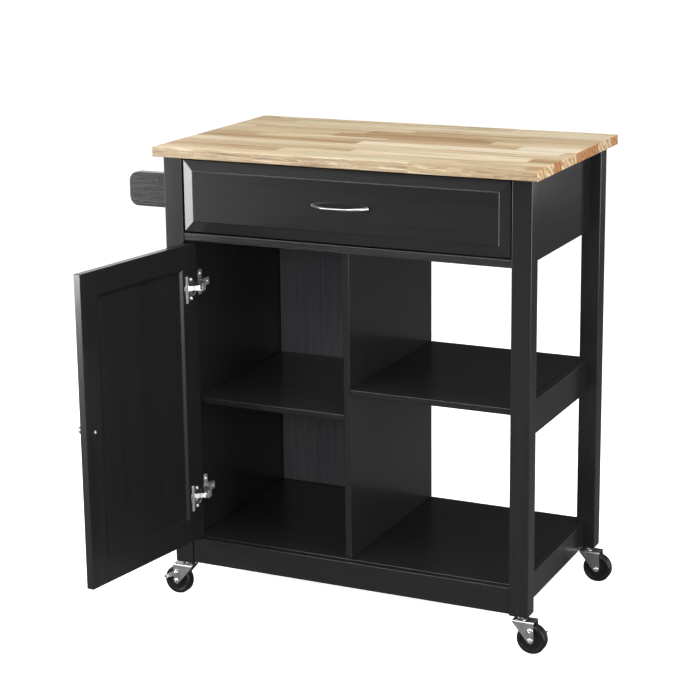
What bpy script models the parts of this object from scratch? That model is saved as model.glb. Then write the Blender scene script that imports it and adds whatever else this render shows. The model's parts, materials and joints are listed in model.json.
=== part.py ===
"""Kitchen island cart: butcher-block top, one drawer, one cupboard door, open shelves and four casters.

World frame: +X to the right, +Y to the back, +Z up, floor at Z = 0, origin under the middle of the
cart's box as it stands with its door open. All the lengths in a group below are in metres.
"""
import math

import bmesh
import bpy
from mathutils import Matrix, Vector

MM = 0.001

# Overall sizes
TOP_WIDTH = 762 * MM
TOP_THICK = 19 * MM
TOP_SURFACE = 895 * MM
LEG_WIDE = 37.5 * MM
LEG_DEEP = 33.5 * MM
LEG_BASE = 70 * MM
SIDE_OVERHANG = 15 * MM
FRONT_OVERHANG = 15 * MM
BACK_OVERHANG = 21 * MM
LEG_SPAN = 420 * MM
LEG_FOOT_CHAMFER = 6 * MM

# Boards
GAP = 0.3 * MM
EDGE = 1.0 * MM
RAIL_THICK = 15 * MM
RAIL_RECESS = 3 * MM
SIDE_RECESS = 22 * MM
PANEL_THICK = 12 * MM
DIVIDER_THICK = 13 * MM
BACK_BOARD = 9 * MM
DRAWER_RAIL_TOP = 732 * MM
DRAWER_RAIL_DEEP = 70 * MM
APRON_BASE = 714 * MM
RAIL_BASE = 73 * MM
FRONT_RAIL_TOP = 123.5 * MM
LOW_RAIL_TOP = 125 * MM
MID_RAIL_BASE = 392 * MM
FLOOR_SHELF_TOP = 124 * MM
RIGHT_SHELF_TOP = 457 * MM
LEFT_SHELF_TOP = 406 * MM
SHELF_THICK = 12 * MM
FLOOR_SHELF_THICK = 15 * MM
SHELF_BACK = 413 * MM
BACK_BOARD_FRONT = 394 * MM

# Drawer
DRAWER_REVEAL = 3 * MM
DRAWER_FRONT_BASE = 735 * MM
DRAWER_FRONT_TOP = 871 * MM
DRAWER_FACE = -0.5 * MM
DRAWER_BEVEL = 20 * MM
DRAWER_BEVEL_RISE = 3.9 * MM
DRAWER_STEP = 0.6 * MM
DRAWER_BACK_FACE = 18 * MM
BOX_HALF = 315 * MM
BOX_BOARD = 12 * MM
BOX_BASE = 738 * MM
BOX_TOP = 845 * MM
BOX_END = 380 * MM
BOX_FLOOR = 746 * MM
BOX_FLOOR_THICK = 4 * MM
RUNNER_Z = 790 * MM
RUNNER_HEIGHT = 22 * MM
RUNNER_SHEET = 1.4 * MM
RUNNER_LENGTH = 346 * MM
PULL_HALF = 55 * MM
PULL_Z = 804 * MM
PULL_REACH = 25 * MM
PULL_RADIUS = 3.6 * MM

# Door
DOOR_THICK = 15 * MM
DOOR_GAP = 2.5 * MM
DOOR_BASE = 126 * MM
DOOR_TOP = 713 * MM
DOOR_OVERLAP_EDGE = 5.5 * MM
DOOR_STILE = 44 * MM
DOOR_FLARE = 10 * MM
DOOR_RECESS = 4.5 * MM
DOOR_PANEL = 5 * MM
DOOR_GROOVE = 8 * MM
DOOR_EDGE = 0.6 * MM
DOOR_SWEEP = 3 * MM
DOOR_OPEN = math.radians(98.4)
PIVOT_IN = 7.5 * MM
PIVOT_BACK = 6 * MM
CUP_FROM_EDGE = 22 * MM
CUP_RADIUS = 17.5 * MM
CUP_DEEP = 10 * MM
CUP_WALL = 1.4 * MM
FLANGE_HALF = 26 * MM
WING_HALF = 25 * MM
HINGE_HEIGHTS = {"upper": 626 * MM, "lower": 213 * MM}
KNOB_Z = 419 * MM
KNOB_FROM_EDGE = 24.5 * MM

# Towel bar
BRACKET_REACH = 80 * MM
BRACKET_THICK = 20 * MM
BRACKET_BASE = 776 * MM
BRACKET_TOP = 841 * MM
BRACKET_ROUND = 19 * MM
BAR_RADIUS = 10 * MM
BAR_OUT = 50 * MM

# Casters
WHEEL_RADIUS = 28 * MM
WHEEL_HALF = 10 * MM
CASTER_TRAIL = 22 * MM
FORK_TOP = 59 * MM
FORK_SHEET = 2 * MM
FORK_ROUND = 6.5 * MM
FORK_INSIDE = 11.5 * MM
AXLE_RADIUS = 3 * MM
BRAKE_PIVOT_UP = 18 * MM
BRAKE_SHEET = 1.6 * MM

# Worked out from the sizes above
TOP_UNDER = TOP_SURFACE - TOP_THICK
LEG_OUT = TOP_WIDTH / 2 - SIDE_OVERHANG
LEG_IN = LEG_OUT - LEG_WIDE
BACK_LEG = LEG_SPAN - LEG_DEEP
RAIL_END = LEG_IN - GAP
WALL_IN = LEG_IN + 0.5 * MM
DOOR_INNER = RAIL_RECESS + DOOR_THICK
SHELF_FRONT = DOOR_INNER + 1 * MM
DRAWER_RAIL_BASE = DRAWER_RAIL_TOP - RAIL_THICK
DOOR_HINGE_EDGE = -LEG_IN + DOOR_GAP
PIVOT = Vector((DOOR_HINGE_EDGE + PIVOT_IN, RAIL_RECESS + PIVOT_BACK, 0))
LEG_MID_X = (LEG_OUT + LEG_IN) / 2
CASTERS = {
    "front_left": (-LEG_MID_X, LEG_DEEP / 2, math.pi),
    "front_right": (LEG_MID_X, LEG_DEEP / 2, 0.0),
    "back_left": (-LEG_MID_X, BACK_LEG + LEG_DEEP / 2, math.pi),
    "back_right": (LEG_MID_X, BACK_LEG + LEG_DEEP / 2, 0.0),
}


def clear_scene():
    for old in list(bpy.data.objects):
        bpy.data.objects.remove(old, do_unlink=True)


def collection(name, hidden):
    made = bpy.data.collections.new(name)
    bpy.context.scene.collection.children.link(made)
    made.hide_render = hidden
    return made


def material(name, colour, roughness, metallic=0.0):
    made = bpy.data.materials.new(name)
    made.use_nodes = True
    shader = made.node_tree.nodes["Principled BSDF"]
    shader.inputs["Base Color"].default_value = (*colour, 1.0)
    shader.inputs["Roughness"].default_value = roughness
    shader.inputs["Metallic"].default_value = metallic
    made.diffuse_color = (*colour, 1.0)
    return made


def empty(name, place, turn=0.0, parent=None):
    made = bpy.data.objects.new(name, None)
    made.location = place
    made.rotation_euler = (0, 0, turn)
    made.parent = parent
    parts.objects.link(made)
    return made


def finish(obj, finish_material, parent):
    obj.data.materials.append(finish_material)
    obj.parent = parent
    parts.objects.link(obj)
    return obj


def from_bmesh(name, mesh_work, finish_material, parent):
    mesh = bpy.data.meshes.new(name)
    mesh_work.to_mesh(mesh)
    mesh_work.free()
    return finish(bpy.data.objects.new(name, mesh), finish_material, parent)


def box_work(low, high):
    """A box between two corners, ready for more work."""
    work = bmesh.new()
    bmesh.ops.create_cube(work, size=1.0)
    low, high = Vector(low), Vector(high)
    for vert in work.verts:
        share = vert.co + Vector((0.5, 0.5, 0.5))
        vert.co = Vector(low[i] + (high[i] - low[i]) * share[i] for i in range(3))
    return work


def board(name, low, high, finish_material, parent, edge=EDGE):
    """A sawn board with its edges eased."""
    made = from_bmesh(name, box_work(low, high), finish_material, parent)
    if edge:
        bevel = made.modifiers.new("eased_edges", "BEVEL")
        bevel.width = edge
        bevel.segments = 1
    return made


def cutter_in(work, parent):
    """A hidden solid that cuts or joins, in the frame of the piece or empty it is parented to."""
    mesh = bpy.data.meshes.new("cutter")
    work.to_mesh(mesh)
    work.free()
    made = bpy.data.objects.new("cutter", mesh)
    made.parent = parent
    cutters.objects.link(made)
    made.hide_render = True
    made.display_type = "WIRE"
    return made


def boolean(obj, other, operation):
    step = obj.modifiers.new(operation.lower(), "BOOLEAN")
    step.operation = operation
    step.solver = "EXACT"
    step.object = other
    return step


def cylinder_work(radius, start, end, sides=24):
    """A round bar from one point to another."""
    start, end = Vector(start), Vector(end)
    work = bmesh.new()
    bmesh.ops.create_cone(
        work, cap_ends=True, segments=sides, radius1=radius, radius2=radius, depth=(end - start).length
    )
    turn = (end - start).to_track_quat("Z", "Y").to_matrix().to_4x4()
    bmesh.ops.transform(work, matrix=Matrix.Translation((start + end) / 2) @ turn, verts=work.verts)
    return work


def turned(name, profile, place, axis, finish_material, parent, steps=28, closed=False):
    """A turned piece: profile points are (radius, height along the axis), outer side top to bottom."""
    mesh = bpy.data.meshes.new(name)
    points = [(radius, 0, height) for radius, height in profile]
    edges = [(i, i + 1) for i in range(len(points) - 1)]
    if closed:
        edges.append((len(points) - 1, 0))
    mesh.from_pydata(points, edges, [])
    made = finish(bpy.data.objects.new(name, mesh), finish_material, parent)
    screw = made.modifiers.new("turned", "SCREW")
    screw.axis = "Z"
    screw.steps = steps
    screw.render_steps = steps
    screw.use_merge_vertices = True
    screw.merge_threshold = 0.00005
    made.location = place
    made.rotation_euler = Vector(axis).to_track_quat("Z", "Y").to_euler()
    return made


def outline_work(points, low, high, axis):
    """A flat outline of (along, up) points made solid between two places on the other level axis."""
    work = bmesh.new()
    if axis == "Y":
        verts = [work.verts.new((along, low, up)) for along, up in points]
        step = Vector((0, high - low, 0))
    else:
        verts = [work.verts.new((along, up, low)) for along, up in points]
        step = Vector((0, 0, high - low))
    face = work.faces.new(verts)
    grown = bmesh.ops.extrude_face_region(work, geom=[face])
    moved = [item for item in grown["geom"] if isinstance(item, bmesh.types.BMVert)]
    bmesh.ops.translate(work, verts=moved, vec=step)
    bmesh.ops.recalc_face_normals(work, faces=work.faces)
    return work


def arc(centre, radius, start, end, steps):
    """Points along an arc, angles in degrees."""
    made = []
    for i in range(steps + 1):
        angle = math.radians(start + (end - start) * i / steps)
        made.append((centre[0] + radius * math.cos(angle), centre[1] + radius * math.sin(angle)))
    return made


def make_tabletop():
    low = (-TOP_WIDTH / 2, -FRONT_OVERHANG, TOP_UNDER)
    high = (TOP_WIDTH / 2, LEG_SPAN + BACK_OVERHANG, TOP_SURFACE)
    made = board("tabletop", low, high, WOOD, cart, edge=1.5 * MM)
    made.modifiers["eased_edges"].segments = 2


def make_legs():
    for name, (mid_x, mid_y, _turn) in CASTERS.items():
        low = (mid_x - LEG_WIDE / 2, mid_y - LEG_DEEP / 2, LEG_BASE)
        high = (mid_x + LEG_WIDE / 2, mid_y + LEG_DEEP / 2, TOP_UNDER - GAP)
        work = box_work(low, high)
        base = [e for e in work.edges if all(v.co.z < LEG_BASE + GAP for v in e.verts)]
        bmesh.ops.bevel(work, geom=base, offset=LEG_FOOT_CHAMFER, segments=1, affect="EDGES")
        upright = [e for e in work.edges if abs(e.verts[0].co.z - e.verts[1].co.z) > 0.5]
        bmesh.ops.bevel(work, geom=upright, offset=EDGE, segments=1, affect="EDGES")
        from_bmesh("leg_" + name, work, PAINT, cart)


def make_frame():
    """Rails, aprons, side panel, back panel, divider and shelves."""
    side_out = LEG_OUT - SIDE_RECESS
    side_in = side_out - RAIL_THICK
    side_front = LEG_DEEP + GAP
    side_back = BACK_LEG - GAP
    rails = {
        "apron_right": (APRON_BASE, TOP_UNDER - GAP),
        "rail_mid_right": (MID_RAIL_BASE, RIGHT_SHELF_TOP),
        "rail_low_right": (RAIL_BASE, LOW_RAIL_TOP),
    }
    for name, (base, top) in rails.items():
        board(name, (side_in, side_front, base), (side_out, side_back, top), PAINT, cart)
    back_front = SHELF_BACK - RAIL_THICK
    back_low, back_high = (-RAIL_END, back_front, DRAWER_RAIL_BASE), (RAIL_END, SHELF_BACK, TOP_UNDER - GAP)
    board("apron_back", back_low, back_high, PAINT, cart)
    shelf_base = FLOOR_SHELF_TOP - FLOOR_SHELF_THICK
    low_back_top = (RAIL_END, SHELF_BACK, shelf_base - GAP)
    board("rail_low_back", (-RAIL_END, back_front, RAIL_BASE), low_back_top, PAINT, cart)
    board(
        "rail_low_front",
        (-RAIL_END, RAIL_RECESS, RAIL_BASE),
        (RAIL_END, SHELF_FRONT - GAP, FRONT_RAIL_TOP),
        PAINT,
        cart,
    )
    board(
        "rail_under_drawer",
        (-RAIL_END, RAIL_RECESS, DRAWER_RAIL_BASE),
        (RAIL_END, RAIL_RECESS + DRAWER_RAIL_DEEP, DRAWER_RAIL_TOP),
        PAINT,
        cart,
    )
    board(
        "side_panel_left",
        (-WALL_IN - PANEL_THICK, side_front, RAIL_BASE),
        (-WALL_IN, side_back, TOP_UNDER - GAP),
        PAINT,
        cart,
    )
    half = DIVIDER_THICK / 2
    floor_end = (RAIL_END, SHELF_BACK, FLOOR_SHELF_TOP)
    board("shelf_floor", (-RAIL_END, SHELF_FRONT, shelf_base), floor_end, PAINT, cart)
    board(
        "divider",
        (-half, SHELF_FRONT, FLOOR_SHELF_TOP + GAP),
        (half, SHELF_BACK, DRAWER_RAIL_BASE - GAP),
        PAINT,
        cart,
    )
    board(
        "back_panel_left",
        (-RAIL_END, BACK_BOARD_FRONT, FLOOR_SHELF_TOP + GAP),
        (-half - GAP, BACK_BOARD_FRONT + BACK_BOARD, DRAWER_RAIL_BASE - GAP),
        PAINT,
        cart,
        edge=0,
    )
    board(
        "shelf_left",
        (-RAIL_END, SHELF_FRONT + DOOR_SWEEP, LEFT_SHELF_TOP - SHELF_THICK),
        (-half - GAP, BACK_BOARD_FRONT - GAP, LEFT_SHELF_TOP),
        PAINT,
        cart,
    )
    board(
        "shelf_right",
        (half + GAP, SHELF_FRONT, RIGHT_SHELF_TOP - SHELF_THICK),
        (RAIL_END, SHELF_BACK, RIGHT_SHELF_TOP),
        PAINT,
        cart,
    )


def make_runners():
    """Each drawer runner is a channel on the cart's side and a bar on the drawer that slides in it."""
    start = LEG_DEEP + 2 * MM
    low, high = RUNNER_Z - RUNNER_HEIGHT / 2, RUNNER_Z + RUNNER_HEIGHT / 2
    for side, sign in (("left", -1), ("right", 1)):
        wall = sign * (WALL_IN - GAP)
        lip = sign * (BOX_HALF + 4.5 * MM)
        inner = sign * (WALL_IN - GAP - RUNNER_SHEET)
        x_low, x_high = sorted((wall, lip))
        end = start + RUNNER_LENGTH
        made = board("runner_channel_" + side, (x_low, start, low), (x_high, end, high), STEEL, cart, 0)
        x_low, x_high = sorted((inner, sign * BOX_HALF))
        hollow = box_work(
            (x_low, start - 5 * MM, low + RUNNER_SHEET), (x_high, end + 5 * MM, high - RUNNER_SHEET)
        )
        boolean(made, cutter_in(hollow, cart), "DIFFERENCE")
        x_low, x_high = sorted((sign * (BOX_HALF + GAP), inner - sign * 0.8 * MM))
        inset = RUNNER_SHEET + 0.6 * MM
        board(
            "runner_bar_" + side,
            (x_low, DRAWER_BACK_FACE + 6 * MM, low + inset),
            (x_high, BOX_END - 2 * MM, high - inset),
            STEEL,
            drawer,
            0.5 * MM,
        )


def make_drawer_front():
    """The drawer's front is a board with a raised field inside a wide sloping border."""
    half = LEG_IN - DRAWER_REVEAL
    edge_y = DRAWER_FACE + DRAWER_STEP + DRAWER_BEVEL_RISE
    work = box_work((-half, edge_y, DRAWER_FRONT_BASE), (half, DRAWER_BACK_FACE, DRAWER_FRONT_TOP))
    work.faces.ensure_lookup_table()
    face = min(work.faces, key=lambda f: f.calc_center_median().y)
    bmesh.ops.inset_region(work, faces=[face], thickness=DRAWER_BEVEL, depth=0)
    bmesh.ops.translate(work, verts=face.verts, vec=(0, -DRAWER_BEVEL_RISE, 0))
    bmesh.ops.inset_region(work, faces=[face], thickness=0.3 * MM, depth=0)
    bmesh.ops.translate(work, verts=face.verts, vec=(0, -DRAWER_STEP, 0))
    from_bmesh("drawer_front", work, PAINT, drawer)


def make_drawer_box():
    start = DRAWER_BACK_FACE + GAP
    inside = BOX_HALF - BOX_BOARD
    for side, sign in (("left", -1), ("right", 1)):
        x_low, x_high = sorted((sign * inside, sign * BOX_HALF))
        board("drawer_side_" + side, (x_low, start, BOX_BASE), (x_high, BOX_END, BOX_TOP), BOX_PLY, drawer)
    span = inside - GAP
    for end, board_start in (("front", start), ("back", BOX_END - BOX_BOARD)):
        low, high = (-span, board_start, BOX_BASE), (span, board_start + BOX_BOARD, BOX_TOP)
        board("drawer_box_" + end, low, high, BOX_PLY, drawer)
    board(
        "drawer_bottom",
        (-span, start + BOX_BOARD + GAP, BOX_FLOOR),
        (span, BOX_END - BOX_BOARD - GAP, BOX_FLOOR + BOX_FLOOR_THICK),
        BOX_PLY,
        drawer,
        0,
    )


def make_pull():
    """The pull is a bow of round bar whose two ends curve back to the drawer's face."""
    base = DRAWER_FACE - GAP
    steps = 14
    points = []
    for i in range(steps + 1):
        along = -1 + 2 * i / steps
        reach = PULL_REACH * (1 - abs(along) ** 4.0)
        points.append((along * PULL_HALF, base - reach, 0.0))
    curve = bpy.data.curves.new("pull_curve", "CURVE")
    curve.dimensions = "3D"
    curve.bevel_depth = PULL_RADIUS
    curve.bevel_resolution = 2
    curve.use_fill_caps = True
    spline = curve.splines.new("POLY")
    spline.points.add(len(points) - 1)
    for point, place in zip(spline.points, points):
        point.co = (*place, 1)
    rod = bpy.data.objects.new("pull_rod", curve)
    cutters.objects.link(rod)
    depsgraph = bpy.context.evaluated_depsgraph_get()
    mesh = bpy.data.meshes.new_from_object(rod.evaluated_get(depsgraph))
    work = bmesh.new()
    work.from_mesh(mesh)
    bmesh.ops.remove_doubles(work, verts=work.verts, dist=0.00002)
    rod_geometry = work.verts[:] + work.edges[:] + work.faces[:]
    cut = bmesh.ops.bisect_plane(
        work, geom=rod_geometry, plane_co=(0, base, 0), plane_no=(0, 1, 0), clear_outer=True
    )
    rim = [item for item in cut["geom_cut"] if isinstance(item, bmesh.types.BMEdge)]
    bmesh.ops.holes_fill(work, edges=rim, sides=0)
    bmesh.ops.recalc_face_normals(work, faces=work.faces)
    bpy.data.objects.remove(rod)
    made = from_bmesh("drawer_pull", work, CHROME, drawer)
    made.location = (0, 0, PULL_Z)


def make_door():
    """The door is modelled shut, and its empty then swings it open about the hinge axis."""
    low = Vector((DOOR_HINGE_EDGE, RAIL_RECESS, DOOR_BASE)) - PIVOT
    high = Vector((DOOR_OVERLAP_EDGE, DOOR_INNER, DOOR_TOP)) - PIVOT
    wide = DOOR_STILE + DOOR_FLARE
    open_low = low + Vector((wide, 0, wide))
    open_high = high - Vector((wide, 0, wide))
    panel_inner = high.y - DOOR_RECESS
    panel_outer = panel_inner - DOOR_PANEL
    frame = {
        "door_stile_hinge": (low, (open_low.x, high.y, high.z)),
        "door_stile_free": ((open_high.x, low.y, low.z), high),
        "door_rail_bottom": ((open_low.x + GAP, low.y, low.z), (open_high.x - GAP, high.y, open_low.z)),
        "door_rail_top": ((open_low.x + GAP, low.y, open_high.z), (open_high.x - GAP, high.y, high.z)),
    }
    groove = box_work(
        (open_low.x - DOOR_GROOVE, panel_outer - GAP, open_low.z - DOOR_GROOVE),
        (open_high.x + DOOR_GROOVE, panel_inner + GAP, open_high.z + DOOR_GROOVE),
    )
    mouth_cutter = cutter_in(door_mouth_work(open_low, open_high, high.y), door)
    groove_cutter = cutter_in(groove, door)
    for name, (start, end) in frame.items():
        piece = board(name, start, end, PAINT, door, DOOR_EDGE)
        boolean(piece, mouth_cutter, "DIFFERENCE")
        boolean(piece, groove_cutter, "DIFFERENCE")
        if name == "door_stile_hinge":
            for height in HINGE_HEIGHTS.values():
                floor = Vector((low.x + CUP_FROM_EDGE, high.y - CUP_DEEP - 2 * GAP, height))
                pocket = cylinder_work(CUP_RADIUS + GAP, floor, floor + Vector((0, 2 * CUP_DEEP, 0)), 32)
                boolean(piece, cutter_in(pocket, door), "DIFFERENCE")
    tongue = DOOR_GROOVE - 0.5 * MM
    work = box_work(
        (open_low.x - tongue, panel_outer, open_low.z - tongue),
        (open_high.x + tongue, panel_inner, open_high.z + tongue),
    )
    face = min(work.faces, key=lambda f: f.calc_center_median().y)
    bmesh.ops.inset_region(work, faces=[face], thickness=tongue + 2 * MM, depth=0)
    bmesh.ops.inset_region(work, faces=[face], thickness=DRAWER_BEVEL, depth=0)
    bmesh.ops.translate(work, verts=face.verts, vec=(0, -DRAWER_BEVEL_RISE, 0))
    from_bmesh("door_panel", work, PAINT, door)


def door_mouth_work(open_low, open_high, inner_face):
    """The sloping border that leads from the frame's inner face down to the panel."""
    slope = DOOR_FLARE / DOOR_RECESS
    above, below = 1 * MM, DOOR_RECESS + 0.5 * MM
    wide = DOOR_FLARE + above * slope
    narrow = DOOR_FLARE - below * slope
    work = box_work(
        (open_low.x - wide, inner_face - below, open_low.z - wide),
        (open_high.x + wide, inner_face + above, open_high.z + wide),
    )
    for vert in work.verts:
        if vert.co.y < inner_face:
            vert.co.x += (wide - narrow) * (1 if vert.co.x < open_low.x else -1)
            vert.co.z += (wide - narrow) * (1 if vert.co.z < open_low.z else -1)
    return work


def make_knob():
    knob_x = DOOR_OVERLAP_EDGE - KNOB_FROM_EDGE - PIVOT.x
    face = RAIL_RECESS - PIVOT.y - GAP
    tip = 24 * MM
    profile = [
        (0, tip),
        (5 * MM, tip - 0.5 * MM),
        (7.6 * MM, tip - 3 * MM),
        (8 * MM, tip - 6 * MM),
        (6 * MM, tip - 11 * MM),
        (4.2 * MM, tip - 16 * MM),
        (5.5 * MM, 1.5 * MM),
        (7 * MM, 0),
        (0, 0),
    ]
    turned("door_knob", profile, (knob_x, face, KNOB_Z), (0, -1, 0), CHROME, door, 24)
    head = [(0, 2.2 * MM), (2.4 * MM, 1.8 * MM), (3.8 * MM, 0.6 * MM), (3.8 * MM, 0), (0, 0)]
    inner = DOOR_INNER - PIVOT.y + GAP
    turned("knob_screw", head, (knob_x, inner, KNOB_Z), (0, 1, 0), CHROME, door, 16)


def make_hinges():
    """Each hinge has a cup let into the door, a link in the cup, and an arm on a plate on the side panel."""
    inner = DOOR_INNER - PIVOT.y
    cup_x = DOOR_HINGE_EDGE + CUP_FROM_EDGE - PIVOT.x
    for name, height in HINGE_HEIGHTS.items():
        rim = 1.2 * MM
        outer = CUP_RADIUS - 0.2 * MM
        bore = CUP_RADIUS - CUP_WALL
        profile = [
            (0, CUP_WALL - CUP_DEEP),
            (bore, CUP_WALL - CUP_DEEP),
            (bore, rim),
            (outer + 2 * MM, rim),
            (outer + 2 * MM, GAP + 0.1 * MM),
            (outer, GAP + 0.1 * MM),
            (outer, -CUP_DEEP),
            (0, -CUP_DEEP),
        ]
        cup = turned("hinge_cup_" + name, profile, (cup_x, inner, height), (0, 1, 0), STEEL, door, 32)
        flange = box_work(
            (cup_x + 3.5 * MM, inner + GAP, height - FLANGE_HALF),
            (cup_x + 15.5 * MM, inner + 1.5 * MM, height + FLANGE_HALF),
        )
        start, end = (cup_x, inner - MM, height), (cup_x, inner + 3 * MM, height)
        mouth = cylinder_work(bore + 0.7 * MM, start, end, 32)
        flange_object = cutter_in(flange, door)
        boolean(flange_object, cutter_in(mouth, door), "DIFFERENCE")
        boolean(cup, flange_object, "UNION")
        half = 5 * MM
        sheet = 1.6 * MM
        path = [
            (cup_x - 1 * MM, inner - 6.5 * MM),
            (cup_x - 8 * MM, inner - 1 * MM),
            (cup_x - 12.5 * MM, inner + 4 * MM),
            (cup_x - 19.5 * MM, inner + 8 * MM),
        ]
        link = strap_work(path, sheet, height - half, height + half)
        from_bmesh("hinge_link_" + name, link, STEEL, door)
        make_hinge_arm(name, height)


def strap_work(path, sheet, low, high):
    """A bent strap of steel that follows a path in plan."""
    left, right = [], []
    for i, point in enumerate(path):
        before = Vector(path[max(i - 1, 0)])
        after = Vector(path[min(i + 1, len(path) - 1)])
        along = (after - before).normalized()
        across = Vector((-along.y, along.x)) * sheet / 2
        left.append(tuple(Vector(point) + across))
        right.append(tuple(Vector(point) - across))
    return outline_work(left + right[::-1], low, high, "Z")


def make_hinge_arm(name, height):
    """The arm reaches from its plate on the side panel forward to the mouth of the cup."""
    wall = -WALL_IN + GAP
    nose = Vector((PIVOT.x + 20.5 * MM, PIVOT.y + 4.6 * MM))
    path = [
        (nose.x, nose.y),
        (nose.x - 0.5 * MM, nose.y + 12 * MM),
        (nose.x - 5 * MM, nose.y + 22 * MM),
        (wall + 12 * MM, nose.y + 30 * MM),
        (wall + 11 * MM, nose.y + 62 * MM),
    ]
    half = 5.5 * MM
    arm = from_bmesh("hinge_arm_" + name, strap_work(path, 3 * MM, height - half, height + half), STEEL, cart)
    start, end = nose.y + 31 * MM, nose.y + 60 * MM
    block = box_work((wall, start, height - 6 * MM), (wall + 10.5 * MM, end, height + 6 * MM))
    boolean(arm, cutter_in(block, cart), "UNION")
    start, end = nose.y + 37 * MM, nose.y + 51 * MM
    wing = box_work((wall, start, height - WING_HALF), (wall + 1.8 * MM, end, height + WING_HALF))
    boolean(arm, cutter_in(wing, cart), "UNION")


def make_towel_bar():
    """Two rounded blocks on the left legs carry a dowel."""
    face = -LEG_OUT - GAP
    tip = -LEG_OUT - BRACKET_REACH
    round_x = tip + BRACKET_ROUND
    outline = [(face, BRACKET_BASE)]
    outline += [(face, BRACKET_TOP)]
    outline += arc((round_x, BRACKET_TOP - BRACKET_ROUND), BRACKET_ROUND, 90, 180, 6)
    outline += arc((round_x, BRACKET_BASE + BRACKET_ROUND), BRACKET_ROUND, 180, 270, 6)
    middle = (BRACKET_BASE + BRACKET_TOP) / 2
    bar_x = -LEG_OUT - BAR_OUT
    starts = {"front": 7 * MM, "back": BACK_LEG + LEG_DEEP - 7 * MM - BRACKET_THICK}
    ends = []
    for name, start in starts.items():
        block = outline_work(outline, start, start + BRACKET_THICK, "Y")
        made = from_bmesh("towel_bracket_" + name, block, PAINT, cart)
        socket_deep = 10 * MM
        if name == "front":
            socket_low, socket_high = start + BRACKET_THICK - socket_deep, start + BRACKET_THICK + MM
            ends.append(socket_low + GAP)
        else:
            socket_low, socket_high = start - MM, start + socket_deep
            ends.append(socket_high - GAP)
        low, high = (bar_x, socket_low, middle), (bar_x, socket_high, middle)
        boolean(made, cutter_in(cylinder_work(BAR_RADIUS + GAP, low, high), cart), "DIFFERENCE")
    bar = cylinder_work(BAR_RADIUS, (bar_x, ends[0], middle), (bar_x, ends[1], middle))
    from_bmesh("towel_bar", bar, PAINT, cart)


def fork_outline():
    """The fork's side: a plate that slopes from under the stem down to a round end at the axle."""
    front = -13 * MM
    around_axle = arc((CASTER_TRAIL, WHEEL_RADIUS), FORK_ROUND, 215, 360, 7)
    top_back = (CASTER_TRAIL + FORK_ROUND, FORK_TOP)
    return [(front, FORK_TOP), (front, FORK_TOP - 4 * MM)] + around_axle + [top_back]


def make_casters():
    """Four swivel casters: a stem in the leg, a pressed fork with its riveted axle, and a wheel."""
    bottom = FORK_TOP - FORK_SHEET
    outside = FORK_INSIDE + FORK_SHEET
    for name, (x, y, turn) in CASTERS.items():
        swivel = empty("swivel_" + name, (x, y, 0), turn, cart)
        stem = [
            (0, LEG_BASE - GAP),
            (9.5 * MM, LEG_BASE - GAP),
            (9.5 * MM, LEG_BASE - 2 * MM),
            (7.5 * MM, FORK_TOP + 2 * MM),
            (7.5 * MM, FORK_TOP + GAP),
            (4 * MM, FORK_TOP + GAP),
            (4 * MM, bottom - GAP),
            (7 * MM, bottom - GAP),
            (6 * MM, bottom - 2.6 * MM),
            (0, bottom - 2.6 * MM),
        ]
        turned("caster_stem_" + name, stem, (x, y, 0), (0, 0, 1), STEEL, cart, 24)
        block = outline_work(fork_outline(), -outside, outside, "Y")
        fork = from_bmesh("caster_fork_" + name, block, STEEL, swivel)
        inside = box_work((-30 * MM, -FORK_INSIDE, 0), (60 * MM, FORK_INSIDE, bottom))
        boolean(fork, cutter_in(inside, swivel), "DIFFERENCE")
        stem_hole = cylinder_work(4.4 * MM, (0, 0, bottom - MM), (0, 0, FORK_TOP + MM), 24)
        boolean(fork, cutter_in(stem_hole, swivel), "DIFFERENCE")
        reach = outside + 1.2 * MM
        start, end = (CASTER_TRAIL, -reach, WHEEL_RADIUS), (CASTER_TRAIL, reach, WHEEL_RADIUS)
        boolean(fork, cutter_in(cylinder_work(AXLE_RADIUS, start, end, 16), swivel), "UNION")
        if name.startswith("front"):
            make_brake(name, swivel, fork, outside)
        shoulder = 3 * MM
        bore = AXLE_RADIUS + 0.35 * MM
        hub = WHEEL_HALF + 1 * MM
        wheel = [
            (WHEEL_RADIUS - shoulder, WHEEL_HALF),
            (WHEEL_RADIUS - 0.8 * MM, WHEEL_HALF - 1.2 * MM),
            (WHEEL_RADIUS, WHEEL_HALF - shoulder),
            (WHEEL_RADIUS, -WHEEL_HALF + shoulder),
            (WHEEL_RADIUS - 0.8 * MM, -WHEEL_HALF + 1.2 * MM),
            (WHEEL_RADIUS - shoulder, -WHEEL_HALF),
            (19 * MM, -WHEEL_HALF),
            (17 * MM, -WHEEL_HALF + 3 * MM),
            (9 * MM, -WHEEL_HALF + 3 * MM),
            (8 * MM, -hub),
            (bore, -hub),
            (bore, hub),
            (8 * MM, hub),
            (9 * MM, WHEEL_HALF - 3 * MM),
            (17 * MM, WHEEL_HALF - 3 * MM),
            (19 * MM, WHEEL_HALF),
        ]
        place = (CASTER_TRAIL, 0, WHEEL_RADIUS)
        turned("caster_wheel_" + name, wheel, place, (0, 1, 0), RUBBER, swivel, 32, closed=True)


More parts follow.
